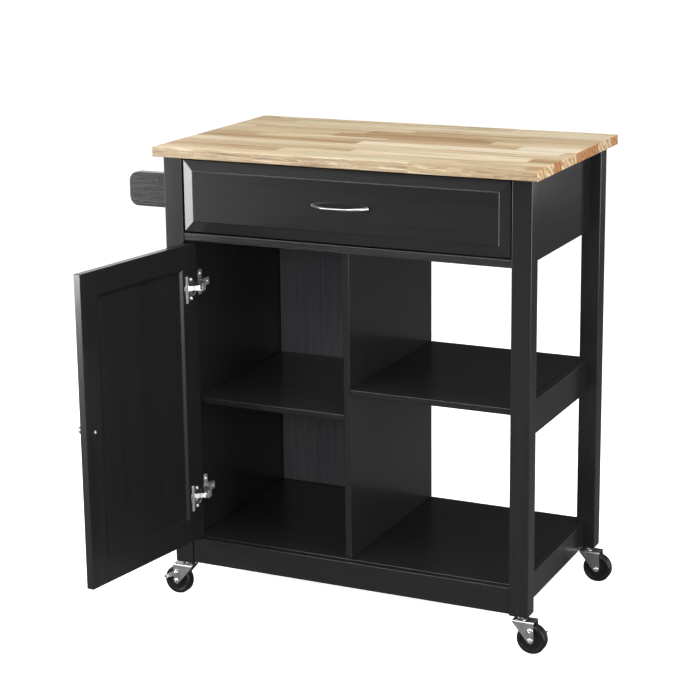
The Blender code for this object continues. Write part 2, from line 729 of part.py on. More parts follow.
def make_brake(name, swivel, fork, outside):
    """The front casters have a small lever on a rivet, one head of which shows on the fork's other side."""
    pivot_z = WHEEL_RADIUS + BRAKE_PIVOT_UP
    rivet_end = outside + GAP + BRAKE_SHEET + 0.8 * MM
    rivets = ((outside - MM, rivet_end), (-outside - MM, -outside + MM))
    for start, end in rivets:
        rivet = cylinder_work(2 * MM, (CASTER_TRAIL, start, pivot_z), (CASTER_TRAIL, end, pivot_z), 16)
        boolean(fork, cutter_in(rivet, swivel), "UNION")
    back = outside + GAP
    toe = [(17 * MM, -14 * MM), (23 * MM, -9 * MM)]
    outline = arc((0, 0), 5 * MM, 60, 240, 8) + toe
    plate = outline_work(outline, back, back + BRAKE_SHEET, "Y")
    lever = from_bmesh("brake_lever_" + name, plate, STEEL, swivel)
    lever.location = (CASTER_TRAIL, 0, pivot_z)
    hole = cylinder_work(2.35 * MM, (0, back - MM, 0), (0, back + 4 * MM, 0), 16)
    boolean(lever, cutter_in(hole, lever), "DIFFERENCE")
    tread = [(16 * MM, -12 * MM), toe[0], toe[1], (21.6 * MM, -7.4 * MM)]
    pedal = outline_work(tread, back + BRAKE_SHEET / 2, back + 9 * MM, "Y")
    boolean(lever, cutter_in(pedal, lever), "UNION")


def box_middle():
    """The middle in plan of the cart's box with the door open: bracket to wheel in X, door to top in Y."""
    left = -LEG_OUT - BRACKET_REACH
    right = LEG_MID_X + CASTER_TRAIL + WHEEL_RADIUS
    back = LEG_SPAN + BACK_OVERHANG
    free_edge = DOOR_OVERLAP_EDGE - PIVOT.x
    swing = Matrix.Rotation(-DOOR_OPEN, 2)
    corner = Vector((free_edge, DOOR_INNER - PIVOT.y - DOOR_EDGE))
    front = PIVOT.y + (swing @ corner).y
    return Vector(((left + right) / 2, (front + back) / 2, 0))


clear_scene()
parts = collection("kitchen_island_cart", False)
cutters = collection("cutters", True)

WOOD = material("butcher_block", (0.69, 0.50, 0.27), 0.4)
PAINT = material("black_paint", (0.02, 0.02, 0.022), 0.42)
BOX_PLY = material("drawer_box_paint", (0.03, 0.03, 0.032), 0.55)
STEEL = material("zinc_plate", (0.62, 0.62, 0.62), 0.32, 1.0)
CHROME = material("satin_chrome", (0.7, 0.7, 0.7), 0.22, 1.0)
RUBBER = material("black_wheel", (0.012, 0.012, 0.013), 0.5)

cart = empty("cart", -box_middle())
drawer = empty("drawer", (0, 0, 0), 0.0, cart)
door = empty("door", PIVOT, -DOOR_OPEN, cart)

make_tabletop()
make_legs()
make_frame()
make_runners()
make_drawer_front()
make_drawer_box()
make_pull()
make_door()
make_knob()
make_hinges()
make_towel_bar()
make_casters()
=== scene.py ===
# A kitchen island cart: a butcher-block top on a black painted frame, with a drawer, a cupboard door,
# open shelves, a towel bar and four casters. Each piece is made where it belongs on the cart, in metres.
import json
import math

import bpy
from mathutils import Matrix, Vector


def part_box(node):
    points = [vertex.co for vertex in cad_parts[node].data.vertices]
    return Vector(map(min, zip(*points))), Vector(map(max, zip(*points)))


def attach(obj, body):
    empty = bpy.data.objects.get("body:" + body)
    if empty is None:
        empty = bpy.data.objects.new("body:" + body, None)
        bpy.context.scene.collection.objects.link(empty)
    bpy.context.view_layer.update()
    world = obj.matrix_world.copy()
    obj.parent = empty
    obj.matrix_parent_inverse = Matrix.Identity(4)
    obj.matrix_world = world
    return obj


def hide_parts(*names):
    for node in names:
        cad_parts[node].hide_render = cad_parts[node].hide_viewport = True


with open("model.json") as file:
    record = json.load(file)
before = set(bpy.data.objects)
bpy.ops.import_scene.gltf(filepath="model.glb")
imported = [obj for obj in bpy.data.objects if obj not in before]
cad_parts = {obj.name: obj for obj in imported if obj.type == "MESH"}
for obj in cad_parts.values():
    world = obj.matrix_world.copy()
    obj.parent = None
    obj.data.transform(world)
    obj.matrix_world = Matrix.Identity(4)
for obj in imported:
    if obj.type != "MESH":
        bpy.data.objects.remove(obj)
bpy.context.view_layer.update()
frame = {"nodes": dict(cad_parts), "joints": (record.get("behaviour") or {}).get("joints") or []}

# ---- Tabletop --------------------------------------------------------------------------------------
# Rows of light hardwood staves, finger-jointed end to end and glued edge to edge, then planed and oiled.
# The arrises are rounded over, the front row shows its heart streaks, and the ends show end grain.
MM = 0.001
TOP_ROUND = 1.6 * MM
STAVE_ROWS = 11
STAVE_SHORTEST = 0.17
STAVE_SPREAD = 0.30


def pick(*pieces):
    """Selects these pieces only, the first of them active."""
    if bpy.context.object and bpy.context.object.mode != "OBJECT":
        bpy.ops.object.mode_set(mode="OBJECT")
    bpy.ops.object.select_all(action="DESELECT")
    for piece in pieces:
        piece.select_set(True)
    bpy.context.view_layer.objects.active = pieces[0]


def squared_block(name, low, high):
    """A block of stock between two corners, with its place in its mesh."""
    bpy.ops.object.select_all(action="DESELECT")
    low, high = Vector(low), Vector(high)
    bpy.ops.mesh.primitive_cube_add(size=1.0, location=(low + high) / 2)
    piece = bpy.context.object
    piece.name = piece.data.name = name
    piece.scale = high - low
    bpy.ops.object.transform_apply(location=True, rotation=True, scale=True)
    return piece


def smooth(piece, angle=40):
    """Shades round stretches smooth and keeps flat faces flat."""
    pick(piece)
    bpy.ops.object.shade_smooth_by_angle(angle=math.radians(angle))
    weight = piece.modifiers.new("flat_faces", "WEIGHTED_NORMAL")
    weight.keep_sharp = True
    bpy.ops.object.modifier_apply(modifier=weight.name)
    return piece


def ease_edges(piece, width, segments=3, angle=30):
    """Rounds over every edge that is sharper than the angle."""
    pick(piece)
    bevel = piece.modifiers.new("eased", "BEVEL")
    bevel.width = width
    bevel.segments = segments
    bevel.limit_method = "ANGLE"
    bevel.angle_limit = math.radians(angle)
    bpy.ops.object.modifier_apply(modifier=bevel.name)
    return smooth(piece)


def add_node(tree, kind, inputs=None, **settings):
    """One shader node with its settings, and its sockets set or linked."""
    made = tree.nodes.new("ShaderNode" + kind)
    for key, value in settings.items():
        setattr(made, key, value)
    for key, value in (inputs or {}).items():
        if isinstance(value, bpy.types.NodeSocket):
            tree.links.new(value, made.inputs[key])
        else:
            made.inputs[key].default_value = value
    return made


def sum_up(tree, operation, first, second=0.0, third=0.0):
    """The value of one Math node."""
    inputs = {0: first, 1: second}
    if operation == "MULTIPLY_ADD":
        inputs[2] = third
    return add_node(tree, "Math", inputs, operation=operation).outputs[0]


def ramp(tree, value, *stops):
    """A colour ramp through (place, colour) stops."""
    made = add_node(tree, "ValToRGB", {"Fac": value})
    elements = made.color_ramp.elements
    while len(elements) < len(stops):
        elements.new(0.5)
    for element, (place, colour) in zip(elements, stops):
        element.position = place
        element.color = (*colour, 1.0)
    return made.outputs["Color"]


def blend_colours(tree, share, first, second, mode="MIX"):
    """Two colours mixed by a share."""
    made = add_node(tree, "Mix", {"Factor": share}, data_type="RGBA", blend_type=mode)
    for socket, value in ((made.inputs[6], first), (made.inputs[7], second)):
        if isinstance(value, bpy.types.NodeSocket):
            tree.links.new(value, socket)
        else:
            socket.default_value = (*value, 1.0)
    return made.outputs[2]


def grey(value):
    """A colour with no hue."""
    return (value, value, value)


def new_finish(name):
    """An empty material with its Principled shader."""
    made = bpy.data.materials.new(name)
    made.use_nodes = True
    return made, made.node_tree, made.node_tree.nodes["Principled BSDF"]


def coat(piece, finish):
    """Gives a piece one finish all over."""
    piece.data.materials.clear()
    piece.data.materials.append(finish)
    return piece


def stretched_noise(tree, place, scale, detail=4.0, roughness=0.55, distortion=0.0):
    """Noise drawn out by a different scale along each axis."""
    mapping = add_node(tree, "Mapping", {"Vector": place, "Scale": scale})
    inputs = {
        "Vector": mapping.outputs[0],
        "Scale": 1.0,
        "Detail": detail,
        "Roughness": roughness,
        "Distortion": distortion,
    }
    return add_node(tree, "TexNoise", inputs).outputs["Fac"]


def butcher_block_finish(low, high):
    """Staves in rows, each with its own tone and figure, over grain that runs along X."""
    made, tree, shader = new_finish("butcher_block")
    coords = add_node(tree, "TexCoord")
    place = coords.outputs["Object"]
    apart = add_node(tree, "SeparateXYZ", {0: place})
    along, across = apart.outputs["X"], apart.outputs["Y"]
    stave = (high.y - low.y) / STAVE_ROWS
    row_place = sum_up(tree, "DIVIDE", sum_up(tree, "SUBTRACT", across, low.y), stave)
    row = sum_up(tree, "FLOOR", row_place)
    row_random = add_node(tree, "TexWhiteNoise", {"W": row}, noise_dimensions="1D")
    shift = sum_up(tree, "MULTIPLY", row_random.outputs["Value"], 9.0)
    row_tint = add_node(tree, "SeparateColor", {0: row_random.outputs["Color"]})
    length = sum_up(tree, "MULTIPLY_ADD", row_tint.outputs[1], STAVE_SPREAD, STAVE_SHORTEST)
    end_place = sum_up(tree, "ADD", sum_up(tree, "DIVIDE", along, length), shift)
    stave_number = sum_up(tree, "FLOOR", end_place)
    cell = add_node(tree, "CombineXYZ", {0: stave_number, 1: row})
    cell_random = add_node(tree, "TexWhiteNoise", {"Vector": cell.outputs[0]}, noise_dimensions="2D")
    tint = add_node(tree, "SeparateColor", {0: cell_random.outputs["Color"]})

    tone = ramp(
        tree,
        tint.outputs[0],
        (0.0, (0.39, 0.255, 0.135)),
        (0.16, (0.455, 0.325, 0.19)),
        (0.32, (0.545, 0.425, 0.27)),
        (0.64, (0.59, 0.475, 0.315)),
        (0.86, (0.625, 0.525, 0.365)),
        (1.0, (0.68, 0.60, 0.46)),
    )
    spread = {0: cell_random.outputs["Color"], 1: (7.0, 7.0, 7.0)}
    offset = add_node(tree, "VectorMath", spread, operation="MULTIPLY")
    own = add_node(tree, "VectorMath", {0: place, 1: offset.outputs[0]}).outputs[0]
    bands = stretched_noise(tree, own, (2.6, 62.0, 62.0), 3.0, 0.6, 0.9)
    bands_colour = ramp(tree, bands, (0.34, (0.62, 0.57, 0.50)), (0.47, grey(0.93)), (0.66, grey(1.14)))
    fibre = stretched_noise(tree, own, (16.0, 900.0, 900.0), 3.0, 0.65)
    fibre_colour = ramp(tree, fibre, (0.28, grey(0.62)), (0.52, grey(1.0)), (0.80, grey(1.10)))
    wood = blend_colours(tree, 0.90, tone, bands_colour, "MULTIPLY")
    wood = blend_colours(tree, 0.85, wood, fibre_colour, "MULTIPLY")

    heart = stretched_noise(tree, own, (4.2, 110.0, 110.0), 5.0, 0.72, 1.9)
    faces = add_node(tree, "SeparateXYZ", {0: coords.outputs["Normal"]})
    on_edge = sum_up(tree, "GREATER_THAN", sum_up(tree, "ABSOLUTE", faces.outputs["Y"]), 0.45)
    on_end = sum_up(tree, "GREATER_THAN", sum_up(tree, "ABSOLUTE", faces.outputs["X"]), 0.45)
    heart_colour = ramp(
        tree,
        heart,
        (0.37, (0.09, 0.05, 0.028)),
        (0.43, (0.22, 0.135, 0.075)),
        (0.47, (0.38, 0.28, 0.165)),
        (0.52, (0.22, 0.145, 0.08)),
        (0.565, (0.40, 0.315, 0.19)),
        (0.66, (0.56, 0.50, 0.38)),
    )
    wood = blend_colours(tree, sum_up(tree, "MULTIPLY", on_edge, 0.85), wood, heart_colour)
    streak_here = sum_up(tree, "GREATER_THAN", tint.outputs[1], 0.66)
    streak = sum_up(tree, "LESS_THAN", heart, 0.385)
    streak_share = sum_up(tree, "MULTIPLY", sum_up(tree, "MULTIPLY", streak, streak_here), 0.45)
    wood = blend_colours(tree, streak_share, wood, (0.40, 0.24, 0.11))

    rings_place = add_node(tree, "Mapping", {"Vector": own, "Rotation": (0.75, 0.0, 0.0)})
    ring_inputs = {"Scale": 26.0, "Distortion": 7.0, "Detail": 3.0, "Detail Scale": 1.6}
    ring_inputs["Vector"] = rings_place.outputs[0]
    rings = add_node(tree, "TexWave", ring_inputs, bands_direction="Z")
    end_tone = ramp(
        tree,
        tint.outputs[2],
        (0.0, (0.38, 0.16, 0.05)),
        (0.22, (0.47, 0.25, 0.10)),
        (0.40, (0.55, 0.39, 0.22)),
        (1.0, (0.62, 0.48, 0.31)),
    )
    ring_stops = (0.10, (0.62, 0.50, 0.40)), (0.5, grey(0.96)), (1.0, grey(1.22))
    ring_colour = ramp(tree, rings.outputs["Fac"], *ring_stops)
    end_wood = blend_colours(tree, 0.95, end_tone, ring_colour, "MULTIPLY")
    wood = blend_colours(tree, sum_up(tree, "MULTIPLY", on_end, 0.9), wood, end_wood)

    row_middle = sum_up(tree, "ABSOLUTE", sum_up(tree, "SUBTRACT", sum_up(tree, "FRACT", row_place), 0.5))
    row_line = sum_up(tree, "GREATER_THAN", row_middle, 0.5 - 0.35 * MM / stave)
    end_middle = sum_up(tree, "ABSOLUTE", sum_up(tree, "SUBTRACT", sum_up(tree, "FRACT", end_place), 0.5))
    end_line = sum_up(tree, "GREATER_THAN", end_middle, 0.4988)
    glue = sum_up(tree, "MAXIMUM", row_line, end_line)
    glue = sum_up(tree, "MULTIPLY", glue, sum_up(tree, "SUBTRACT", 1.0, on_edge))
    wood = blend_colours(tree, sum_up(tree, "MULTIPLY", glue, 0.38), wood, (0.33, 0.20, 0.10))
    knots = add_node(tree, "TexVoronoi", {"Vector": place, "Scale": 9.0}, feature="F1")
    knot_tint = add_node(tree, "SeparateColor", {0: knots.outputs["Color"]})
    knot_here = sum_up(tree, "GREATER_THAN", knot_tint.outputs[0], 0.72)
    knot = sum_up(tree, "LESS_THAN", knots.outputs["Distance"], 0.022)
    wood = blend_colours(tree, sum_up(tree, "MULTIPLY", knot, knot_here), wood, (0.10, 0.055, 0.03))

    rough = sum_up(tree, "MULTIPLY_ADD", fibre, 0.16, 0.36)
    height = sum_up(tree, "SUBTRACT", fibre, sum_up(tree, "MULTIPLY", glue, 0.8))
    bump = add_node(tree, "Bump", {"Height": height, "Strength": 0.22, "Distance": 0.25 * MM})
    tree.links.new(wood, shader.inputs["Base Color"])
    tree.links.new(rough, shader.inputs["Roughness"])
    tree.links.new(bump.outputs[0], shader.inputs["Normal"])
    return made


top_low, top_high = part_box("tabletop")
top = squared_block("butcher_block_top", top_low, top_high)
ease_edges(top, TOP_ROUND, 4)
coat(top, butcher_block_finish(top_low, top_high))
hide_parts("tabletop")
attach(top, "cart")

# ---- Frame boards ----------------------------------------------------------------------------------
# Aprons, rails, panels, shelves and the divider: rubberwood and board, sanded, primed and sprayed satin
# black, so that the grain still shows faintly through. They are held by dowels and screws from inside.
BOARD_ROUND = 1.5 * MM
GRAIN_LONG = 9.0
GRAIN_FINE = 620.0
BOARD_GRAIN = {
    "apron_right": "y",
    "apron_back": "x",
    "rail_mid_right": "y",
    "rail_low_right": "y",
    "rail_low_back": "x",
    "rail_low_front": "x",
    "rail_under_drawer": "x",
    "side_panel_left": "z",
    "back_panel_left": "z",
    "divider": "z",
    "shelf_floor": "x",
    "shelf_left": "x",
    "shelf_right": "x",
}


def painted_grain_group():
    """Shared by every painted piece: a sprayed film that sinks a little into the pores of the wood."""
    group = bpy.data.node_groups.new("painted_grain", "ShaderNodeTree")
    face = group.interface
    for name, kind in (("Place", "Vector"), ("Tone", "Float"), ("Pores", "Float")):
        face.new_socket(name, in_out="INPUT", socket_type="NodeSocket" + kind)
    for name, kind in (("Colour", "Color"), ("Roughness", "Float"), ("Height", "Float")):
        face.new_socket(name, in_out="OUTPUT", socket_type="NodeSocket" + kind)
    given = group.nodes.new("NodeGroupInput")
    result = group.nodes.new("NodeGroupOutput")
    place = given.outputs["Place"]
    pore_inputs = {"Vector": place, "Scale": 1.0, "Detail": 5.0, "Roughness": 0.62, "Distortion": 0.3}
    pores = add_node(group, "TexNoise", pore_inputs).outputs["Fac"]
    wide = add_node(group, "VectorMath", {0: place, 1: (0.16, 0.16, 0.16)}, operation="MULTIPLY").outputs[0]
    figure = add_node(group, "TexNoise", {"Vector": wide, "Scale": 1.0, "Detail": 3.0}).outputs["Fac"]
    mist = add_node(group, "TexNoise", {"Vector": place, "Scale": 0.04, "Detail": 2.0}).outputs["Fac"]
    open_pores = ramp(group, pores, (0.36, grey(0.0)), (0.60, grey(1.0)))
    lift = sum_up(group, "MULTIPLY_ADD", open_pores, 0.35, 0.72)
    lift = sum_up(group, "MULTIPLY", lift, sum_up(group, "MULTIPLY_ADD", figure, 0.5, 0.75))
    value = sum_up(group, "MULTIPLY", lift, given.outputs["Tone"])
    cool = sum_up(group, "MULTIPLY", value, 1.10)
    colour = add_node(group, "CombineColor", {0: value, 1: value, 2: cool}).outputs[0]
    rough = sum_up(group, "MULTIPLY_ADD", open_pores, -0.07, 0.32)
    rough = sum_up(group, "MULTIPLY_ADD", mist, 0.08, rough)
    height = sum_up(group, "MULTIPLY", open_pores, given.outputs["Pores"])
    height = sum_up(group, "MULTIPLY_ADD", figure, 0.35, height)
    for socket, output in (("Colour", colour), ("Roughness", rough), ("Height", height)):
        group.links.new(output, result.inputs[socket])
    return group


painted_grain = painted_grain_group()


def black_paint(name, grain, tone=0.0105, pores=0.6, depth=0.10, gloss=0.24, fine=GRAIN_FINE):
    """Satin black over wood whose grain runs along one axis."""
    made, tree, shader = new_finish(name)
    coords = add_node(tree, "TexCoord")
    scale = [fine] * 3
    scale["xyz".index(grain)] = GRAIN_LONG
    mapping = add_node(tree, "Mapping", {"Vector": coords.outputs["Object"], "Scale": scale})
    film = add_node(tree, "Group", node_tree=painted_grain)
    tree.links.new(mapping.outputs[0], film.inputs["Place"])
    film.inputs["Tone"].default_value = tone
    film.inputs["Pores"].default_value = pores
    bump = add_node(tree, "Bump", {"Height": film.outputs["Height"], "Strength": 0.5, "Distance": depth * MM})
    tree.links.new(film.outputs["Colour"], shader.inputs["Base Color"])
    tree.links.new(film.outputs["Roughness"], shader.inputs["Roughness"])
    tree.links.new(bump.outputs[0], shader.inputs["Normal"])
    shader.inputs["Specular IOR Level"].default_value = gloss
    shader.inputs["Coat Weight"].default_value = 0.55
    shader.inputs["Coat Roughness"].default_value = 0.15
    return made


paint = {grain: black_paint("black_paint_grain_" + grain, grain) for grain in "xyz"}


def painted_board(node, body, grain, round_over=BOARD_ROUND):
    """A board the size of its CAD node, with rounded arrises."""
    low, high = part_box(node)
    piece = squared_block(node + "_board", low, high)
    ease_edges(piece, round_over)
    coat(piece, paint[grain])
    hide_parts(node)
    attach(piece, body)
    return piece


for board_node, board_grain in BOARD_GRAIN.items():
    painted_board(board_node, "cart", board_grain)

drawer_rail = bpy.data.objects["rail_under_drawer_board"]
coat(drawer_rail, black_paint("black_paint_rail", "x", 0.0135, 0.9, 0.7, 0.26, 330.0))
# The back panel is a greyer black than the frame. Part of that is the hardboard's own tone, and part is
# painted light that brightens the back of the bay.
back_board = bpy.data.objects["back_panel_left_board"]
coat(back_board, black_paint("black_hardboard_and_painted_light", "z", 0.105, 0.3, 0.05, 0.20))

# ---- Legs ------------------------------------------------------------------------------------------
# Four square posts of solid wood. Each foot is chamfered on all four sides above the caster, and the
# upright arrises are rounded over before painting.
FOOT_CHAMFER = 2.5 * MM
LEG_ROUND = 1.8 * MM
CORNERS = ("front_left", "front_right", "back_left", "back_right")


def pick_faces(piece, wanted):
    """Goes into edit mode with only the wanted faces selected, by their middle and normal."""
    pick(piece)
    bpy.ops.object.mode_set(mode="EDIT")
    bpy.ops.mesh.select_mode(type="FACE")
    bpy.ops.mesh.select_all(action="DESELECT")
    bpy.ops.object.mode_set(mode="OBJECT")
    for face in piece.data.polygons:
        face.select = wanted(face.center, face.normal)
    bpy.ops.object.mode_set(mode="EDIT")


def leave_edit():
    """Goes back to object mode, which writes the edit to the mesh."""
    bpy.ops.object.mode_set(mode="OBJECT")


for corner in CORNERS:
    low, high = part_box("leg_" + corner)
    leg = squared_block("post_" + corner, low, high)
    pick_faces(leg, lambda middle, normal: normal.z < -0.5)
    bpy.ops.mesh.bevel(offset=FOOT_CHAMFER, segments=1, affect="EDGES")
    leave_edit()
    ease_edges(leg, LEG_ROUND)
    coat(leg, paint["z"])
    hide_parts("leg_" + corner)
    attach(leg, "cart")

# ---- Drawer front ----------------------------------------------------------------------------------
# One board with a wide border planed down on all four sides, which leaves a raised field with a small
# step around it. The grain runs across the cart.
FIELD_BORDER = 20 * MM
FIELD_STEP = 1.0 * MM
FIELD_STEP_WIDE = 0.8 * MM
FIELD_RISE = 3.5 * MM

low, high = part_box("drawer_front")
front = squared_block("drawer_face", (low.x, low.y + FIELD_STEP + FIELD_RISE, low.z), high)
pick_faces(front, lambda middle, normal: normal.y < -0.5)
bpy.ops.mesh.inset(thickness=FIELD_BORDER, depth=0)
bpy.ops.transform.translate(value=(0, -FIELD_RISE, 0))
bpy.ops.mesh.inset(thickness=FIELD_STEP_WIDE, depth=0)
bpy.ops.transform.translate(value=(0, -FIELD_STEP, 0))
leave_edit()
ease_edges(front, 0.5 * MM, 3, 8)
coat(front, paint["x"])
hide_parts("drawer_front")
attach(front, "drawer")

# ---- Drawer box ------------------------------------------------------------------------------------
# Four thin boards and a bottom, stained black. A steel bar on each side of the box slides in a steel
# channel that is screwed to the frame.
BOX_ROUND = 0.8 * MM

for board_node in ("drawer_side_left", "drawer_side_right"):
    painted_board(board_node, "drawer", "y", BOX_ROUND)
for board_node in ("drawer_box_front", "drawer_box_back", "drawer_bottom"):
    painted_board(board_node, "drawer", "x", BOX_ROUND)


def plated_metal(name, tone, roughness, spangle, bumps):
    """Plated or polished metal: faint clouds in the finish and fine marks from handling."""
    made, tree, shader = new_finish(name)
    coords = add_node(tree, "TexCoord").outputs["Object"]
    clouds = stretched_noise(tree, coords, (120.0, 120.0, 120.0), 4.0, 0.6)
    marks = stretched_noise(tree, coords, (700.0, 700.0, 90.0), 3.0, 0.6)
    cells = add_node(tree, "TexVoronoi", {"Vector": coords, "Scale": 420.0}).outputs["Distance"]
    light = tuple(channel * 1.06 for channel in tone)
    dark = tuple(channel * (1.0 - spangle) for channel in tone)
    colour = blend_colours(tree, clouds, dark, light)
    rough = sum_up(tree, "MULTIPLY_ADD", clouds, 0.16, roughness - 0.08)
    rough = sum_up(tree, "MULTIPLY_ADD", marks, 0.08, rough)
    height = sum_up(tree, "MULTIPLY_ADD", cells, 0.4, marks)
    bump = add_node(tree, "Bump", {"Height": height, "Strength": bumps, "Distance": 0.04 * MM})
    tree.links.new(colour, shader.inputs["Base Color"])
    tree.links.new(rough, shader.inputs["Roughness"])
    tree.links.new(bump.outputs[0], shader.inputs["Normal"])
    shader.inputs["Metallic"].default_value = 1.0
    return made


zinc = plated_metal("bright_zinc", (0.74, 0.745, 0.75), 0.26, 0.30, 0.5)
for runner_node in ("runner_channel_left", "runner_channel_right", "runner_bar_left", "runner_bar_right"):
    coat(frame["nodes"][runner_node], zinc)

# ---- Drawer pull -----------------------------------------------------------------------------------
# A slim cast bow in satin chrome, drawn thinner at its middle than at its feet. Two screws through the
# drawer front hold it.
PULL_FOOT = 3.3 * MM
PULL_WAIST = 0.66
PULL_POINTS = 17

satin_chrome = plated_metal("satin_chrome", (0.50, 0.50, 0.51), 0.27, 0.06, 0.12)


def curve_to_mesh(piece):
    """Makes a curve a mesh, closed at its ends."""
    pick(piece)
    bpy.ops.object.convert(target="MESH")
    piece = bpy.context.object
    bpy.ops.object.mode_set(mode="EDIT")
    bpy.ops.mesh.select_all(action="SELECT")
    bpy.ops.mesh.remove_doubles(threshold=0.00002)
    bpy.ops.mesh.normals_make_consistent(inside=False)
    leave_edit()
    return piece


pull_low, pull_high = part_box("drawer_pull")
pull_middle = (pull_low + pull_high) / 2
pull_half = (pull_high.x - pull_low.x) / 2 - PULL_FOOT
pull_reach = pull_high.y - pull_low.y - PULL_FOOT
bpy.ops.object.select_all(action="DESELECT")
bpy.ops.curve.primitive_nurbs_path_add()
bow = bpy.context.object
bow.name = bow.data.name = "bow_pull"
bow.data.splines.clear()
spline = bow.data.splines.new("POLY")
spline.points.add(PULL_POINTS - 1)
for number, point in enumerate(spline.points):
    share = -1 + 2 * number / (PULL_POINTS - 1)
    out = pull_reach * (1 - abs(share) ** 3.2)
    point.co = (pull_middle.x + share * pull_half, pull_high.y - out, pull_middle.z, 1)
    point.radius = PULL_WAIST + (1 - PULL_WAIST) * abs(share) ** 3
bow.data.bevel_depth = PULL_FOOT
bow.data.bevel_resolution = 6
bow.data.use_fill_caps = True
bow = curve_to_mesh(bow)
smooth(bow, 60)
coat(bow, satin_chrome)
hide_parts("drawer_pull")
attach(bow, "drawer")

# ---- Door ------------------------------------------------------------------------------------------
# A frame of two stiles and two rails around a panel, painted over its joints. A sloping border leads
# from the frame's inner face down to the panel, and the outer side has a raised field like the drawer's.
DOOR_MARGIN = 44 * MM
DOOR_SLOPE = 7 * MM
DOOR_SUNK = 3.4 * MM
DOOR_THICK = 15 * MM
DOOR_WIDE = 331.5 * MM
DOOR_TALL = 587 * MM
PIVOT_IN = 7.5 * MM
PIVOT_BACK = 6 * MM
PANEL_THICK = 5 * MM
CUP_RADIUS = 17.5 * MM
CUP_DEEP = 10 * MM
CUP_FROM_EDGE = 22 * MM

joints = {joint["name"]: joint for joint in frame["joints"]}
door_pivot = Vector(joints["door_swing"]["pos_m"])
door_open = math.radians(joints["door_swing"]["range_deg"][1])
door_low_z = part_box("door_stile_free")[0].z
door_to_cart = Matrix.Translation((door_pivot.x, door_pivot.y, 0)) @ Matrix.Rotation(-door_open, 4, "Z")
door_front = -PIVOT_BACK
door_inner = DOOR_THICK - PIVOT_BACK


def swing_open(piece):
    """Moves a piece made on the shut door, with the pivot at the origin, to where the door stands open."""
    pick(piece)
    piece.matrix_world = door_to_cart @ piece.matrix_world
    bpy.ops.object.transform_apply(location=True, rotation=True, scale=True)
    return piece


def stand(piece, place, direction):
    """Turns a piece made along Z to point along a direction, and moves it into place."""
    pick(piece)
    turn = Vector(direction).to_track_quat("Z", "Y").to_matrix().to_4x4()
    piece.matrix_world = Matrix.Translation(place) @ turn @ piece.matrix_world
    bpy.ops.object.transform_apply(location=True, rotation=True, scale=True)
    return piece


door_corner = Vector((-PIVOT_IN, door_front, door_low_z))
door_far = door_corner + Vector((DOOR_WIDE, DOOR_THICK, DOOR_TALL))
door_frame = squared_block("door_frame", door_corner, door_far)
pick_faces(door_frame, lambda middle, normal: normal.y > 0.5)
bpy.ops.mesh.inset(thickness=DOOR_MARGIN, depth=0)
bpy.ops.mesh.inset(thickness=DOOR_SLOPE, depth=0)
bpy.ops.transform.translate(value=(0, -DOOR_SUNK, 0))
leave_edit()
pick_faces(door_frame, lambda middle, normal: normal.y < -0.5)
bpy.ops.mesh.inset(thickness=DOOR_MARGIN + DOOR_SLOPE, depth=0)
leave_edit()
middle_x = (door_corner.x + door_far.x) / 2
middle_z = (door_corner.z + door_far.z) / 2
pick_faces(
    door_frame,
    lambda middle, normal: abs(normal.y) > 0.5
    and abs(middle.x - middle_x) < MM
    and abs(middle.z - middle_z) < MM,
)
bpy.ops.mesh.bridge_edge_loops()
leave_edit()
ease_edges(door_frame, 1.0 * MM, 3, 12)
for level in ("upper", "lower"):
    cup_low, cup_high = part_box("hinge_cup_" + level)
    bpy.ops.object.select_all(action="DESELECT")
    bpy.ops.mesh.primitive_cylinder_add(vertices=56, radius=CUP_RADIUS, depth=2 * CUP_DEEP + MM)
    borer = bpy.context.object
    stand(borer, (CUP_FROM_EDGE - PIVOT_IN, door_inner, (cup_low.z + cup_high.z) / 2), (0, 1, 0))
    pick(door_frame)
    bore = door_frame.modifiers.new("cup_bore", "BOOLEAN")
    bore.object = borer
    bpy.ops.object.modifier_apply(modifier=bore.name)
    bpy.data.objects.remove(borer)
smooth(door_frame, 35)
coat(door_frame, paint["z"])

hole = DOOR_MARGIN + DOOR_SLOPE + 0.15 * MM
panel_low = door_corner + Vector((hole, 0, hole))
panel_high = door_far - Vector((hole, 0, hole))
panel_face = door_inner - DOOR_SUNK
door_panel = squared_block(
    "door_panel_board",
    (panel_low.x, panel_face - PANEL_THICK, panel_low.z),
    (panel_high.x, panel_face, panel_high.z),
)
pick_faces(door_panel, lambda middle, normal: normal.y < -0.5)
bpy.ops.mesh.inset(thickness=2 * MM, depth=0)
bpy.ops.mesh.inset(thickness=FIELD_BORDER, depth=0)
bpy.ops.transform.translate(value=(0, -FIELD_RISE, 0))
leave_edit()
ease_edges(door_panel, 0.3 * MM, 2, 8)
coat(door_panel, paint["z"])

for piece, nodes in (
    (door_frame, ("door_stile_hinge", "door_stile_free", "door_rail_top", "door_rail_bottom")),
    (door_panel, ("door_panel",)),
):
    swing_open(piece)
    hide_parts(*nodes)
    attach(piece, "door")

# ---- Door knob -------------------------------------------------------------------------------------
# A small turned knob in satin chrome on the door's outer face. A cross-head machine screw through the
# stile holds it, and its head shows on the inside.
KNOB_FROM_EDGE = 24.5 * MM


